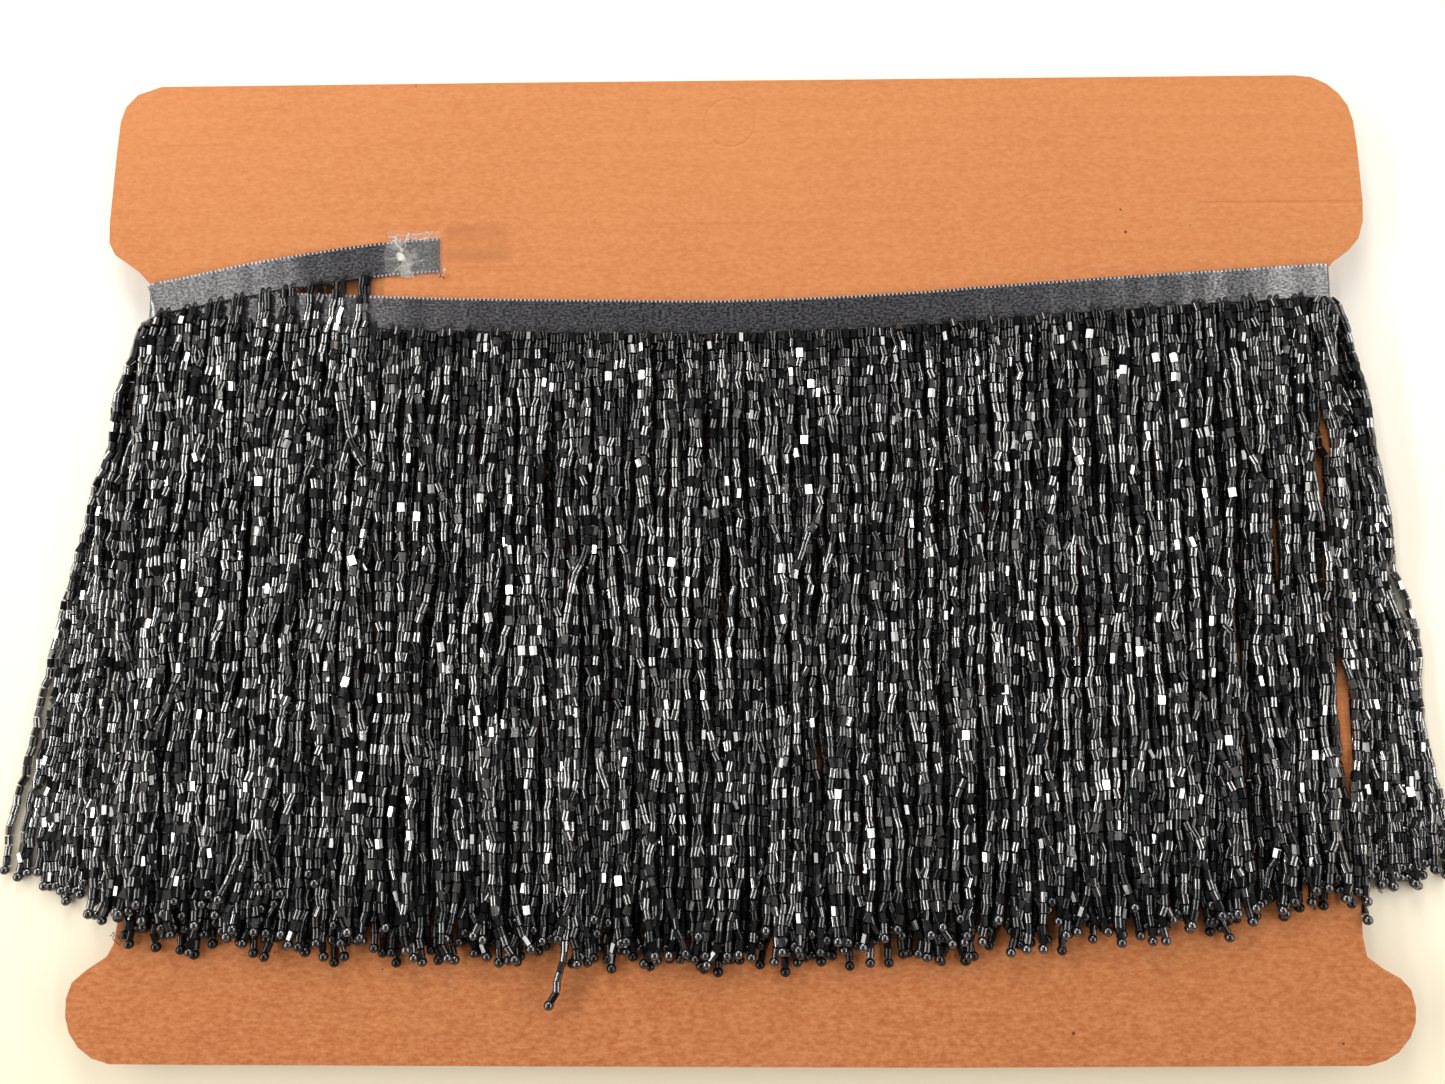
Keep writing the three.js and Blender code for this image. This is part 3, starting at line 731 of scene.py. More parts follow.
def front_roots(rng, settings):
    """The front's strands: where they hang from, how long they are and what they hang from."""
    strands = []

    def hang(x, y, z, length, kind):
        root = np.stack([x, y, np.broadcast_to(z, x.shape)], axis=1)
        strands.append((root, length, np.full(len(x), kind)))

    for turn, layer in enumerate(LAYERS):
        x = root_pairs(rng, FRONT_SEWN[0] + layer["start"], FRONT_SEWN[1])
        y = front_edge(x) - RIBBON + layer["overlap"] + rng.normal(0, 0.25, len(x))
        uneven = np.clip(rng.normal(-0.5, 3.6, len(x)), -10, 4)
        length = front_lengths(x, settings.strand_length) + uneven
        hang(x, y, CARD_FRONT + layer["root"], length, turn)
    x = np.repeat(np.linspace(*LOOSE_SEWN, LOOSE_PAIRS), 2) + np.tile([-1.0, 1.0], LOOSE_PAIRS)
    x = x + rng.normal(0, 0.3, len(x))
    hang(x, loose_centre(x) - 4.6, loose_height(x) + 1.2,
         settings.strand_length + rng.normal(0, 1.8, len(x)), LOOSE_END)
    count = settings.fan_strands
    share = np.linspace(0, 1, count)
    # Of a fan's strands, the inner ones hang over the card's edge, the middle ones come out from
    # under it and the outer ones hang from the fold.
    for side, kind, start in ((-1, LEFT_FOLD, -167.5), (1, RIGHT_FOLD, 169.5)):
        x = side * (4.0 * np.clip(share * 3, 0, 1) + rng.normal(0, 0.3, count)) + start
        x = np.where(from_under(share), FOLDS[side] - side * (3 + 24 * (0.75 - share)), x)
        y = front_edge(x) - 10.2 + rng.normal(0, 0.4, count)
        z = np.where(share < 0.25, 9.8, np.where(from_under(share), 2.2, 2.0 + 6.5 * share))
        hang(x, y, z, settings.strand_length - 1.0 - 4.0 * share + rng.normal(0, 2.6, count), kind)
    return [np.concatenate(part) for part in zip(*strands)]


def lay_front(settings):
    """The pile in front, the loose end's strands on it and the fans at both folds, all settled."""
    rng = np.random.default_rng(settings.seed)
    root, length, kind = front_roots(rng, settings)
    straggler = np.argmin(np.abs(root[:, 0] - STRAGGLER["x"]) + 50 * (kind != TOP_TURN))
    length[straggler] += STRAGGLER["extra"]
    side = np.where(kind == LEFT_FOLD, -1, np.where(kind == RIGHT_FOLD, 1, 0))
    in_pile = np.zeros(np.sum(kind < LEFT_FOLD))
    share = np.linspace(0, 1, settings.fan_strands)
    under = np.concatenate([in_pile > 0, from_under(share), from_under(share)])
    uneven = rng.normal(0, 0.012, settings.fan_strands)
    # The last few on the left lie apart, further down. A share is how far out in its fan one is.
    parted = np.concatenate([share[:-3] * 0.8, [0.8, 0.885, 1.0]])
    fan_share = np.concatenate([in_pile, share + uneven, share + uneven])
    fan_parted = np.concatenate([in_pile, parted + uneven, share + uneven])

    flare = rng.normal(0, 3.0, len(root))
    flare[straggler] = -4.0
    # Some of the strands on top cross their neighbours.
    crossing = (kind >= TOP_TURN) & (kind < RIGHT_FOLD) & (root[:, 0] < 148)
    crossing &= rng.random(len(root)) < CROSSING_SHARE
    cross_by = rng.choice([-1.0, 1.0], len(root)) * rng.uniform(2.5, 6.5, len(root))
    cross_by = np.where(crossing, cross_by, 0)
    cross_at = rng.uniform(0.06, 0.88, len(root))
    lie = np.array([layer["lie"] for layer in LAYERS] + [6.4, 0.0, 0.0])[kind] + 1.3 * crossing

    def aim(t):
        # The two turns underneath wander less, and their pairs lie further apart.
        waves = wander(rng, len(root), t)
        waves = np.where(kind < 2, 0.5 * waves, waves)
        sign = np.where(np.arange(len(root)) % 2, 1, -1)
        part = np.where(kind < 2, 0.9, 0.5) * sign * np.clip(t * 6, 0, 1)
        x = root[:, 0] + sway(root[:, 0], t) + waves + part
        x = np.where(kind == LOOSE_END, x - 8 * t, x)
        x += flare * np.clip((t - 0.88) / 0.12, 0, 1) ** 1.5
        eased = np.clip((t - cross_at) / 0.1, 0, 1)
        across = cross_by * eased * eased * (3 - 2 * eased)
        x += across
        y = root[:, 1] - t * length
        parting, opening = table_at(PARTING, y, 1), table_at(PARTING, y, 2)
        limit = parting - opening - 1.0
        x = np.where((kind < LEFT_FOLD) & (x > limit), limit - 0.15 * (x - limit), x)

        # The fans spread between the pile and their outer edge.
        outer = np.where(side < 0, table_at(LEFT_FAN, y), table_at(RIGHT_FAN, y))
        beside_parting = parting + opening + 1.0
        inner = np.where(side < 0, 168.5, beside_parting)
        share = fan_share + (fan_parted - fan_share) * np.clip((t - 0.3) / 0.25, 0, 1)
        spread = side * (inner + share * (outer - inner)) + 0.4 * waves + 0.5 * across
        spread = np.where(side > 0, np.maximum(spread, beside_parting), spread)
        slit = table_at(RIGHT_SLIT, y)
        apart = (side > 0) & ~outermost(len(root)) & (slit > 0)
        spread = np.where(apart, np.minimum(spread, outer - STRAND_ROOM - slit), spread)
        blend = np.clip(t * np.where(under, 5, 25), 0, 1)
        spread = root[:, 0] * (1 - blend) + spread * blend
        return np.where(side != 0, spread, x)

    def height(t):
        drop = np.clip(t * 9, 0, 1)
        pile = root[:, 2] * (1 - drop) + (CARD_FRONT + lie) * drop
        ease = np.clip(t * 3.2, 0, 1)
        fallen = root[:, 2] * (1 - ease) + 1.2 * ease
        fallen = np.where(fan_share < 0.12, CARD_FRONT + 1.2, fallen)
        return np.where(side != 0, fallen, pile)

    strands = Strands(root, length, aim, height)
    settle(strands, settings.bead_width + 0.1, settings.passes,
           lambda moved: rest_on_card(moved, HALF_STRAND, side, under), 0.07)
    return strands, kind


def lay_back(settings):
    """The pile behind the card, pressed level between the card and the surface."""
    rng = np.random.default_rng(settings.seed + 1)
    count = settings.back_strands
    x = np.linspace(-171, 171, count) + rng.normal(0, 0.5, count)
    layer = np.arange(count) % 2
    y = back_edge(x) - 10.2 + rng.normal(0, 0.3, count)
    root = np.stack([x, y, np.where(layer == 0, 1.6, 3.2)], axis=1)
    length = settings.strand_length + rng.normal(0, 2.0, count)

    def aim(t):
        return root[:, 0] + sway(root[:, 0], t) * 0.8 + 0.7 * wander(rng, count, t)

    def height(t):
        return np.broadcast_to(np.where(layer == 0, HALF_STRAND, 3.5), t.shape).copy()

    def keep_between(strands):
        strands.move(True, z=np.clip(strands.z, HALF_STRAND, 3.3))

    strands = Strands(root, length, aim, height)
    settle(strands, settings.bead_width + 0.08, settings.passes // 2, keep_between, 0.0)
    return strands


def turned(direction, roll):
    """Quaternions that take +Z to each direction, after a roll about +Z."""
    align = unit(np.stack([1 + direction[:, 2], -direction[:, 1], direction[:, 0]], axis=1))
    c, s = np.cos(roll / 2), np.sin(roll / 2)
    w, x, y = align.T
    return np.stack([w * c, x * c + y * s, y * c - x * s, w * s], axis=1)


def string_beads(strands, chosen, depth, settings, rng):
    """Strings beads along strands. Returns the beads' places, turns, sizes, kinds and tones."""
    place, turn, size, kind, tone = [], [], [], [], []
    pitch = settings.bead_length + settings.bead_gap
    for i in np.flatnonzero(chosen):
        count = int((strands.length[i] - settings.end_bead) / pitch)
        knots = strands.along(i, np.arange(count + 1) * pitch + 0.4)
        knots[1:, 0] += rng.normal(0, 0.24, count)
        knots[1:, 2] += rng.normal(0, 0.08, count)
        step = unit(np.diff(knots, axis=0))
        leaning = unit(step + rng.normal(0, 0.055, (count, 3)) * (1, 0, 1))
        middle = (knots[:-1] + knots[1:]) / 2
        # No corner of a bead goes below the surface or into the card's face.
        rise = np.abs(leaning[:, 2])
        level = np.sqrt(1 - rise ** 2)
        lowest = 0.54 * settings.bead_length * rise + 0.63 * settings.bead_width * level
        on_card = (middle[:, 2] > CARD_FRONT) & (np.abs(middle[:, 0]) < WAIST_HALF_WIDTH)
        middle[:, 2] = np.maximum(middle[:, 2], lowest + np.where(on_card, CARD_FRONT, 0))
        place.append(middle)
        turn.append(turned(leaning, rng.uniform(0, 2 * math.pi, count)))
        width = rng.normal(1.0, 0.03, count)
        size.append(np.stack([width, width, rng.normal(1.0, 0.035, count)], axis=1))
        kind.append(np.searchsorted([CUT_SHARE, CUT_SHARE + HALF_WORN_SHARE], rng.random(count)))
        shine = rng.beta(0.9, 1.5, count + 1)
        # Both ends are in the shade: under the ribbon, and where the tips crowd together.
        shine[:3] *= SHADE_AT_ROOT
        shine[-6:-1] *= SHADE_AT_TIP
        shine[-1] = rng.uniform(0.1, 0.3)
        # Its own random shine, times the painted shade of its depth in the pile.
        tone.append(shine * depth[i])
        tip = knots[-1] + step[-1] * settings.end_bead * 0.45
        under = CARD_FRONT if tip[2] > CARD_FRONT and abs(tip[0]) < WAIST_HALF_WIDTH + 1 else 0
        tip[2] = max(tip[2], under + settings.end_bead / 2)
        place.append(tip[None, :])
        turn.append(turned(step[-1:], np.zeros(1)))
        size.append(np.full((1, 3), rng.normal(1.0, 0.03)))
        kind.append(np.array([END_BEAD]))
    return [np.concatenate(part) for part in (place, turn, size, kind, tone)]


def model_beads(settings):
    """A six-sided cut tube, one with each second edge worn, one worn all over and an end bead."""
    beads = []
    for name in ("bead_0_cut", "bead_1_half_worn", "bead_2_worn"):
        deselect()
        bpy.ops.mesh.primitive_cylinder_add(
            vertices=6, radius=settings.bead_width / math.sqrt(3) * MM,
            depth=settings.bead_length * MM, end_fill_type="NGON",
        )
        beads.append(bpy.context.object)
        beads[-1].name = name
    for bead in beads[1:]:
        make_active(bead)
        bpy.ops.object.shade_smooth_by_angle(angle=math.radians(75))
    for edge in beads[1].data.edges:
        low, high = (beads[1].data.vertices[i].co for i in edge.vertices)
        if abs(high.z - low.z) > MM and round(math.degrees(math.atan2(low.y, low.x)) / 60) % 2:
            edge.use_edge_sharp = True
    deselect()
    bpy.ops.mesh.primitive_ico_sphere_add(subdivisions=2, radius=settings.end_bead / 2 * MM)
    bpy.ops.object.shade_smooth()
    beads.append(bpy.context.object)
    beads[-1].name = "bead_3_end"
    return beads


def bead_tree(beads, material):
    """Geometry nodes that set a bead on each point, turned and sized by its attributes."""
    tree = bpy.data.node_groups.new("string_of_beads", "GeometryNodeTree")
    add = partial(add_node, tree)
    tree.interface.new_socket("Geometry", in_out="INPUT", socket_type="NodeSocketGeometry")
    tree.interface.new_socket("Geometry", in_out="OUTPUT", socket_type="NodeSocketGeometry")
    start = add("NodeGroupInput")
    kind, turn, size = (
        add("GeometryNodeInputNamedAttribute", {"Name": key}, data_type=BEAD_ATTRIBUTES[key])
        for key in ("kind", "turn", "size")
    )
    gathered = add("GeometryNodeJoinGeometry")
    for index, bead in enumerate(beads):
        picked = add("FunctionNodeCompare", {"A": kind, "B": index},
                     data_type="INT", operation="EQUAL")
        shape = add("GeometryNodeObjectInfo", {"Object": bead, "As Instance": True})
        feed(gathered, {0: add("GeometryNodeInstanceOnPoints", {
            "Points": start, "Selection": picked, "Instance": shape.outputs["Geometry"],
            "Rotation": turn, "Scale": size,
        })})
    real = add("GeometryNodeRealizeInstances", {"Geometry": gathered})
    dressed = add("GeometryNodeSetMaterial", {"Geometry": real, "Material": material})
    add("NodeGroupOutput", {0: dressed})
    return tree


def bead_piece(name, parts, tree):
    """Strings of beads as one mesh, made by the tree from points with their attributes."""
    place, *values = parts
    piece = mesh_piece(name, place, [])
    for (key, form), column in zip(BEAD_ATTRIBUTES.items(), values):
        attribute = piece.data.attributes.new(key, form, "POINT")
        field = "vector" if form == "FLOAT_VECTOR" else "value"
        attribute.data.foreach_set(field, np.asarray(column).ravel())
    piece.modifiers.new("beads", "NODES").node_group = tree
    apply_modifiers(piece)
    for key in BEAD_ATTRIBUTES:
        if key != "tone" and key in piece.data.attributes:
            piece.data.attributes.remove(piece.data.attributes[key])
    return piece


# Cloth, board, thread and tape


def add_tube(points, faces, line, radius):
    """Adds a four-sided thread along a line to a growing mesh."""
    line = np.asarray(line)
    side = np.cross(np.gradient(line, axis=0), (0.0, 0.0, 1.0))
    side /= np.linalg.norm(side, axis=1)[:, None] + 1e-9
    faces.extend(tube_faces(len(points), len(line), 4))
    for middle, across in zip(line, side):
        points.extend(middle + radius * (across * a + np.array((0, 0, b)))
                      for a, b in ((1, 0), (0, 1), (-1, 0), (0, -1)))


def model_thread(strands, kind, seed):
    """The chain stitch along each turn, the threads that hold the beads, and a few loose ends."""
    rng = np.random.default_rng(seed)
    points, faces = [], []
    x = np.arange(-170.5, 171.0, STITCH)
    seam = WINDING_FRONT + 0.55
    seams = [(x, front_edge(x) - 9.75, seam + TURN_RISE * turn) for turn in range(TOP_TURN + 1)]
    x = np.arange(-169.0, -105.0, STITCH)
    seams.append((x, loose_centre(x) - 4.8, loose_height(x) + 0.35))
    for x, y, z in seams:
        y = y + rng.uniform(-0.25, 0.15, len(x))
        z = z + rng.uniform(0, 0.15, len(x))
        add_tube(points, faces, np.stack([x, y, z], axis=1), 0.28)
    for i in np.flatnonzero((kind == TOP_TURN) | (kind == LOOSE_END)):
        x, y, z = strands.root[i]
        lean = rng.uniform(-0.5, 0.5)
        add_tube(points, faces, [
            (x + lean, y + 1.5, z - 1.0), (x + lean / 2, y + 1.0, z - 0.2), (x, y + 0.2, z + 0.1),
            (x - lean / 3, y - 0.6, z - 0.2),
        ], 0.36)
    for i in np.flatnonzero(kind >= TOP_TURN):
        add_tube(points, faces, strands.along(i, np.arange(0.5, strands.length[i] - 1, 8.6)), 0.3)
    for x, y, z, reach in LOOSE_THREADS:
        steps = np.cumsum(rng.normal(0, reach, (14, 3)) * (1, 1, 0.12), axis=0)
        add_tube(points, faces, (x, y, z) + steps * (1, 1, 0) + np.abs(steps) * (0, 0, 1), 0.1)
    piece = mesh_piece("sewing_thread", points, faces)
    turn_faces_out(piece)
    bpy.ops.object.shade_smooth()
    return piece


def ribbon_line():
    """The ribbon's middle line from start to tip, the side that faces out, and where it shows."""
    centre, out, fine = [], [], []

    def station(x, y, z, nx, nz, is_fine):
        """One place on the line. What shows has fine stations, two to a loop of the edge."""
        centre.append((x, y, z))
        out.append((nx, 0.0, nz))
        fine.append(is_fine)

    def corner(side, z, start, stop, low, high, middle):
        """A quarter turn round the card's edge, which may widen from one radius to another."""
        for share in np.linspace(0, 1, 5):
            angle = math.radians(start + (stop - start) * share)
            radius = low + (high - low) * share
            nx, nz = side * math.cos(angle), math.sin(angle)
            station(FOLDS[side] + radius * nx, middle, z + radius * nz, nx, nz, False)

    # Each turn lies a little higher or lower across the card than the last.
    offset = 0.25
    first, last = FOLDS[-1] + 2.5, FOLDS[1] - 2.5
    for turn, next_offset in enumerate((-0.3, 0.2, 0.0, 0.0)):
        rise = 0.2 + TURN_RISE * turn
        shows = turn == TOP_TURN
        for x in np.linspace(first, last, int((last - first) / PICOT_STEP) if shows else 60):
            bulge = 0.05 * (math.sin(x / 9) + math.sin(x / 5.3 + 1)) ** 2 if shows else 0
            middle = front_edge(x) - RIBBON / 2 + offset
            station(x, middle, WINDING_FRONT + rise + bulge, 0, 1, shows)
        middle = front_edge(FOLDS[1]) - RIBBON / 2 + offset
        corner(1, WINDING_FRONT, 90, 0, rise, rise, middle)
        corner(1, WINDING_BACK, 0, -90, rise, rise, middle)
        for share in np.linspace(0, 1, 60):
            x = last + (first - last) * share
            middle = back_edge(x) - RIBBON / 2 + offset + (next_offset - offset) * share
            station(x, middle, WINDING_BACK - rise, 0, -1, False)
        offset = next_offset
        middle = front_edge(FOLDS[-1]) - RIBBON / 2 + offset
        corner(-1, WINDING_BACK, -90, 0, rise, rise + TURN_RISE / 2, middle)
        corner(-1, WINDING_FRONT, 0, 90, rise + TURN_RISE / 2, rise + TURN_RISE, middle)
    for x in np.arange(FOLDS[-1] + 1.5, LOOSE_CENTRE[-1][0], PICOT_STEP):
        station(x, loose_centre(x), loose_height(x), 0, 1, True)
    return np.array(centre), np.array(out), np.array(fine)


def model_ribbon():
    """The ribbon as one strip with looped edges. Returns it with its length."""
    centre, out, fine = ribbon_line()
    keep = np.concatenate([[True], np.linalg.norm(np.diff(centre, axis=0), axis=1) > 0.02])
    centre, out, fine = centre[keep], out[keep], fine[keep]
    across = unit(np.cross(out, unit(np.gradient(centre, axis=0))))
    travel = travel_along(centre)
    places = np.array([-5.0, -4.6, -1.6, 1.6, 4.6, 5.0])
    # Every second station has a loop, which sticks out at both edges.
    picot = np.where(fine & (np.arange(len(centre)) % 2 == 0), 0.3, 0.0)
    reach = np.repeat(places[None, :], len(centre), axis=0)
    reach[:, 0] -= picot
    reach[:, -1] += picot
    middle = centre[:, None, :] + across[:, None, :] * reach[:, :, None]
    rumple = 0.1 * np.sin(travel / 3.1)[:, None] * np.cos(places / 1.7 + 0.4)[None, :]
    rumple = rumple * fine[:, None]
    middle = middle + out[:, None, :] * np.abs(rumple)[:, :, None]
    half = RIBBON_THICKNESS / 2 * out[:, None, :]
    rings = np.concatenate([middle + half, (middle - half)[:, ::-1]], axis=1)
    around = rings.shape[1]
    piece = mesh_piece("satin_ribbon", rings.reshape(-1, 3), tube_faces(0, len(rings), around))
    layer = piece.data.uv_layers.new(name="ribbon")
    travelled = np.repeat(travel, around) * MM
    crossed = np.tile(np.concatenate([places, places[::-1]]), len(centre)) * MM
    corners = np.zeros(len(piece.data.loops), dtype=int)
    piece.data.loops.foreach_get("vertex_index", corners)
    layer.data.foreach_set("uv", np.stack([travelled[corners], crossed[corners]], axis=1).ravel())
    turn_faces_out(piece)
    bpy.ops.object.shade_smooth_by_angle(angle=math.radians(50))
    return piece, travel[-1]


def plate(name, outline, low, thickness):
    """A flat plate cut to an outline, from its underside up."""
    piece = mesh_piece(name, [(x, y, low) for x, y in outline], [tuple(range(len(outline)))[::-1]])
    make_active(piece)
    bpy.ops.object.mode_set(mode="EDIT")
    bpy.ops.mesh.select_all(action="SELECT")
    bpy.ops.mesh.extrude_region_move(TRANSFORM_OT_translate={"value": (0, 0, thickness * MM)})
    turn_faces_out(piece)
    return piece


def model_card():
    """Two liners with a wavy sheet between them, cut to the card's outline."""
    liners = [
        plate("liner_back", CARD_OUTLINE, CARD_BACK, LINER),
        plate("liner_front", CARD_OUTLINE, CARD_FRONT - LINER, LINER),
    ]
    deselect()
    middle = (CARD_BACK + CARD_FRONT) / 2 * MM
    bpy.ops.mesh.primitive_grid_add(
        x_subdivisions=2, y_subdivisions=360, size=1, location=(0, 0, middle),
    )
    flutes = bpy.context.object
    flutes.name = "flutes"
    flutes.scale = (0.4, 0.3, 1)
    bpy.ops.object.transform_apply(location=True, rotation=True, scale=True)
    for vertex in flutes.data.vertices:
        vertex.co.z += FLUTE_HEIGHT * MM * math.sin(2 * math.pi * vertex.co.y / (FLUTE_PITCH * MM))
    thicken(flutes, "paper", 0.22, 0)
    # The sheet ends just inside the liners' edges.
    cutter = plate("cutter", [(x * 0.9995, y * 0.9995) for x, y in CARD_OUTLINE], CARD_BACK - 1, 5)
    trim = flutes.modifiers.new("outline", "BOOLEAN")
    trim.operation = "INTERSECT"
    trim.object = cutter
    apply_modifiers(flutes)
    bpy.data.objects.remove(cutter)
    return join("corrugated_card", [*liners, flutes])


def model_tape(seed):
    """A short piece of tape, stuck over the ribbon's tip and onto the card, with its crinkles."""
    rng = np.random.default_rng(seed)
    deselect()
    bpy.ops.mesh.primitive_grid_add(x_subdivisions=34, y_subdivisions=26, size=2)
    piece = bpy.context.object
    piece.name = "clear_tape"
    corners = np.array(TAPE_CORNERS)
    waves = rng.uniform(0, 2 * math.pi, 8)
    for vertex in piece.data.vertices:
        u, v = (vertex.co.x + 1) / 2, (vertex.co.y + 1) / 2
        low = corners[0] * (1 - u) + corners[1] * u
        high = corners[3] * (1 - u) + corners[2] * u
        x, y = low * (1 - v) + high * v
        x += 0.35 * math.sin(9 * v + waves[0]) * abs(2 * u - 1) ** 3
        y += 0.45 * math.sin(7 * u + waves[1]) * abs(2 * v - 1) ** 3
        # Over the ribbon's tip the film lies higher. Its lower right corner has come up.
        over = abs(y - loose_centre(x)) < 5.4 and x < LOOSE_CENTRE[-1][0] + 0.3
        top = loose_height(x) + 0.32 if over else CARD_FRONT + 0.2
        crinkle = 0.10 * math.sin(1.9 * x + waves[2])
        crinkle += 0.09 * math.sin(2.6 * y + 1.3 * x + waves[3])
        curl = 1.4 * max(0.0, u - 0.88) / 0.12 * max(0.0, 0.25 - v) / 0.25
        vertex.co = (x * MM, y * MM, (top + abs(crinkle) + curl) * MM)
    thicken(piece, "film", 0.08, 1)
    apply_modifiers(piece)
    bpy.ops.object.shade_smooth()
    return piece


# Settings


class FringeColours(PropertyGroup):
    card: StringProperty(name="Card", description="The board's liner", default="#C77F4C")
    card_deep: StringProperty(
        name="Card, deep", description="Where the liner is darker", default="#A75D31")
    card_pale: StringProperty(
        name="Card, fibres", description="The palest paper fibres", default="#D08D5C")
    # The satin's pale colour is painted sparkle on the floats, and its deep one painted shade between
    # them.
    satin: StringProperty(
        name="Satin", description="Where the satin catches the light", default="#403F46")
    satin_deep: StringProperty(
        name="Satin, deep", description="Between the satin's floats", default="#0A0A0C")
    bead: StringProperty(name="Beads", description="The paler beads", default="#2C2C30")
    # The darker bead colour is also the painted shade of beads deep in the pile.
    bead_deep: StringProperty(
        name="Beads, deep", description="The darker beads of the string", default="#0E0E10")
    floor: StringProperty(
        name="Table top", description="The surface under the card", default="#FCF7EC",
    )


class FringeSizes(PropertyGroup):
    bead_width: FloatProperty(
        name="Bead width", description="Across a tube bead's flats", default=1.88 * MM,
        min=1.0 * MM, unit="LENGTH")
    bead_length: FloatProperty(
        name="Bead length", description="Of a tube bead", default=2.58 * MM,
        min=1.0 * MM, unit="LENGTH")
    bead_gap: FloatProperty(
        name="Bead gap", description="Thread that shows between two beads", default=0.28 * MM,
        min=0.02 * MM, unit="LENGTH")
    end_bead: FloatProperty(
        name="End bead", description="Across the round bead at a tip", default=2.85 * MM,
        min=1.0 * MM, unit="LENGTH")
    strand_length: FloatProperty(
        name="Strand length", description="From the ribbon to the tip", default=176.0 * MM,
        min=20.0 * MM, unit="LENGTH")
    fan_strands: IntProperty(
        name="Fan strands", description="That fall outwards at each fold", default=27, min=4)
    back_strands: IntProperty(
        name="Back strands", description="Behind the card", default=190, min=10,
    )
    passes: IntProperty(
        name="Settling", description="Passes in which the pile settles", default=60, min=2)
    seed: IntProperty(name="Seed", description="Of the strands' own waves", default=7, min=0)


class FringeStage(PropertyGroup):
    strip_radiance: FloatProperty(
        name="Strips", description="Radiance of the long lights overhead", default=12.5)
    key_power: FloatProperty(
        name="Window light", description="Power of the light beyond the top edge", default=6.8,
        unit="POWER")
    room: FloatProperty(
        name="Room light", description="Light from all round", default=0.75, min=0.0)


def in_millimetres(settings):
    """The settings as plain numbers, with their lengths turned to millimetres."""
    properties = settings.bl_rna.properties
    values = {key: getattr(settings, key) for key in type(settings).__annotations__}
    return SimpleNamespace(**{
        key: round(value / MM, 6) if properties[key].unit == "LENGTH" else value
        for key, value in values.items()
    })


# Operators


class FRINGE_OT_card(Operator):
    """Models the notched winding card from two liners and their flutes"""

    bl_idname = "fringe.card"
    bl_label = "Winding card"

    def execute(self, context):
        board = card_material(context.scene.fringe_colours)
        finish_piece(model_card(), "card", "card", material=board)
        return {"FINISHED"}


class FRINGE_OT_ribbon(Operator):
    """Winds the satin ribbon round the card as one strip, with its loose end"""

    bl_idname = "fringe.ribbon"
    bl_label = "Satin ribbon"

    def execute(self, context):
        piece, length = model_ribbon()
        satin = satin_material(context.scene.fringe_colours)
        finish_piece(piece, "satin", "ribbon_winding", "ribbon_loose_end", material=satin)
        return {"FINISHED"}


class FRINGE_OT_tape(Operator):
    """Sticks the ribbon's tip down with a crinkled piece of clear tape"""

    bl_idname = "fringe.tape"
    bl_label = "Clear tape"

    def execute(self, context):
        finish_piece(model_tape(TAPE_SEED), "tape", "tape", material=tape_material())
        return {"FINISHED"}


class FRINGE_OT_strands(Operator):
    """Settles the strands of the pile and the fans, and strings them with beads"""

    bl_idname = "fringe.strands"
    bl_label = "Bead strands"

    def execute(self, context):
        settings = in_millimetres(context.scene.fringe_sizes)
        rng = np.random.default_rng(settings.seed + 2)
        beads = model_beads(settings)
        tree = bead_tree(beads, bead_material(context.scene.fringe_colours))
        front, kind = lay_front(settings)
        back = lay_back(settings)
        quarter = np.digitize(front.root[:, 0], QUARTERS)
        groups = [
            *((f"front_strands_{i}", front, (kind <= TOP_TURN) & (quarter == i), "fringe_front")
              for i in range(4)),
            ("loose_end_strands", front, kind == LOOSE_END, "fringe_loose_end"),
            ("left_fold_strands", front, kind == LEFT_FOLD, "fringe_left_fold"),
            ("right_fold_strands", front, kind == RIGHT_FOLD, "fringe_right_fold"),
            ("back_strands_0", back, back.root[:, 0] < 0, "fringe_back"),
            ("back_strands_1", back, back.root[:, 0] >= 0, "fringe_back"),
        ]
        for name, strands, chosen, node in groups:
            # Painted shade by depth; every strand behind the card takes the deepest turn's.
            depth = PAINTED_DEPTH_SHADE[kind] if strands is front else np.full(len(chosen), PAINTED_DEPTH_SHADE[0])
            piece = bead_piece(name, string_beads(strands, chosen, depth, settings, rng), tree)
            finish_piece(piece, "beads", node)
        for bead in beads:
            bpy.data.objects.remove(bead)
        thread = model_thread(front, kind, settings.seed + 3)
        spun = thread_material()
        finish_piece(thread, "satin", "fringe_front", "fringe_loose_end", material=spun)
        return {"FINISHED"}


def add_light(name, place, turn, size, power, colour):
    """Adds an oblong light of a size in metres."""
    deselect()
    bpy.ops.object.light_add(type="AREA", location=place, rotation=turn)
    light = bpy.context.object
    light.name = name
    light.data.shape = "RECTANGLE"
    light.data.size, light.data.size_y = size
    light.data.energy = power
    light.data.color = colour


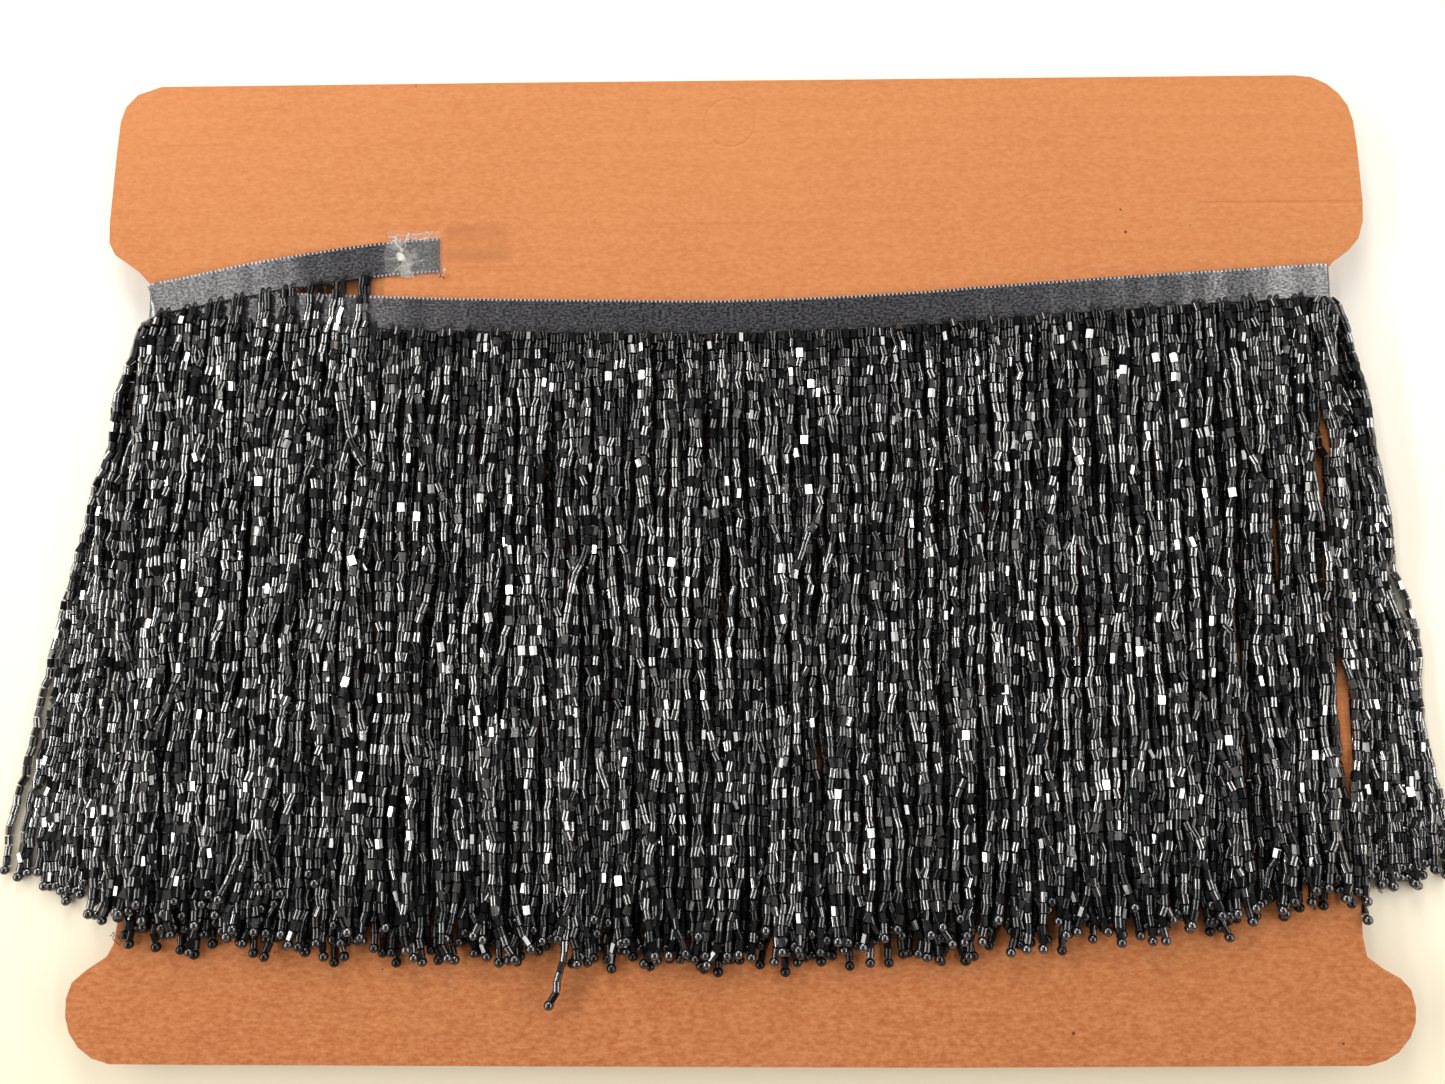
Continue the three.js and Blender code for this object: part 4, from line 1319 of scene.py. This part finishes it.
class FRINGE_OT_stage(Operator):
    """Sets the pale table top, the lights and the camera over the card"""

    bl_idname = "fringe.stage"
    bl_label = "Table, lights and camera"

    def execute(self, context):
        scene = context.scene
        settings = scene.fringe_stage
        deselect()
        bpy.ops.mesh.primitive_plane_add(size=6)
        floor = context.object
        floor.name = "table_top"
        floor.data.materials.append(floor_material(scene.fringe_colours))

        world = bpy.data.worlds.new("room")
        scene.world = world
        world.use_nodes = True
        world.node_tree.nodes.clear()
        add = partial(add_node, world.node_tree)
        place = add("ShaderNodeTexCoord").outputs["Generated"]
        axes = add("ShaderNodeSeparateXYZ", {"Vector": place})
        # Dim overhead and to the sides, where the beads' facets look, and bright beyond both long
        # edges.
        low = add("ShaderNodeMapRange", {
            "Value": axes.outputs["Z"],
            "From Min": 0.95, "From Max": 0.1, "To Min": 0.14, "To Max": 0.35,
        })
        beyond = add("ShaderNodeMath", {0: axes.outputs["Y"]}, operation="ABSOLUTE")
        beyond = add("ShaderNodeMapRange", {
            "Value": beyond, "From Min": 0.6, "From Max": 0.95,
        }, interpolation_type="SMOOTHSTEP")
        shade = add("ShaderNodeMix", {"Factor": beyond, "A": low, "B": 0.8})
        level = add("ShaderNodeMath", {0: shade, 1: settings.room}, operation="MULTIPLY")
        light = add("ShaderNodeBackground", {"Color": linear("#FFFAF2"), "Strength": level})
        add("ShaderNodeOutputWorld", {"Surface": light})

        for name, degrees, width, share in STRIP_LIGHTS:
            angle = math.radians(degrees)
            add_light(
                name, (STRIP_DISTANCE * math.sin(angle), 0.15, STRIP_DISTANCE * math.cos(angle)),
                (0, angle, 0), (width, STRIP_LENGTH),
                settings.strip_radiance * share * math.pi * width * STRIP_LENGTH, (1.0, 0.985, 0.96),
            )
        add_light("window_light", (-0.1, 0.95, 0.45), (math.radians(-65), 0, 0), (0.45, 0.45),
                  settings.key_power, (1.0, 0.98, 0.95))

        deselect()
        bpy.ops.object.camera_add(
            location=CAMERA_PLACE, rotation=tuple(math.radians(value) for value in CAMERA_TURN),
        )
        camera = context.object
        camera.data.sensor_width = SENSOR
        camera.data.lens = SENSOR * FOCAL_PIXELS / FRAME_WIDTH
        camera.data.clip_start = 0.01
        scene.camera = camera
        scene.view_settings.view_transform = "Standard"
        return {"FINISHED"}


class FRINGE_PT_panel(Panel):
    """Lists the pieces of the fringe trim and their settings"""

    bl_idname = "FRINGE_PT_panel"
    bl_label = "Beaded Fringe Trim"
    bl_space_type = "VIEW_3D"
    bl_region_type = "UI"
    bl_category = "Fringe"

    def draw(self, context):
        scene = context.scene
        for settings in (scene.fringe_sizes, scene.fringe_colours, scene.fringe_stage):
            box = self.layout.box()
            for key in type(settings).__annotations__:
                box.prop(settings, key)
        for step in STEPS:
            self.layout.operator(step.bl_idname)


SETTINGS = {
    "fringe_colours": FringeColours, "fringe_sizes": FringeSizes, "fringe_stage": FringeStage,
}
STEPS = (FRINGE_OT_card, FRINGE_OT_ribbon, FRINGE_OT_tape, FRINGE_OT_strands, FRINGE_OT_stage)


def register():
    for kind in (*SETTINGS.values(), *STEPS, FRINGE_PT_panel):
        bpy.utils.register_class(kind)
    for name, kind in SETTINGS.items():
        setattr(bpy.types.Scene, name, PointerProperty(type=kind))


def unregister():
    for name in SETTINGS:
        delattr(bpy.types.Scene, name)
    for kind in (FRINGE_PT_panel, *reversed(STEPS), *reversed(list(SETTINGS.values()))):
        bpy.utils.unregister_class(kind)


def main():
    register()
    for operator in (
        bpy.ops.fringe.card, bpy.ops.fringe.ribbon, bpy.ops.fringe.tape, bpy.ops.fringe.strands,
        bpy.ops.fringe.stage,
    ):
        operator()


if __name__ == "__main__":
    main()
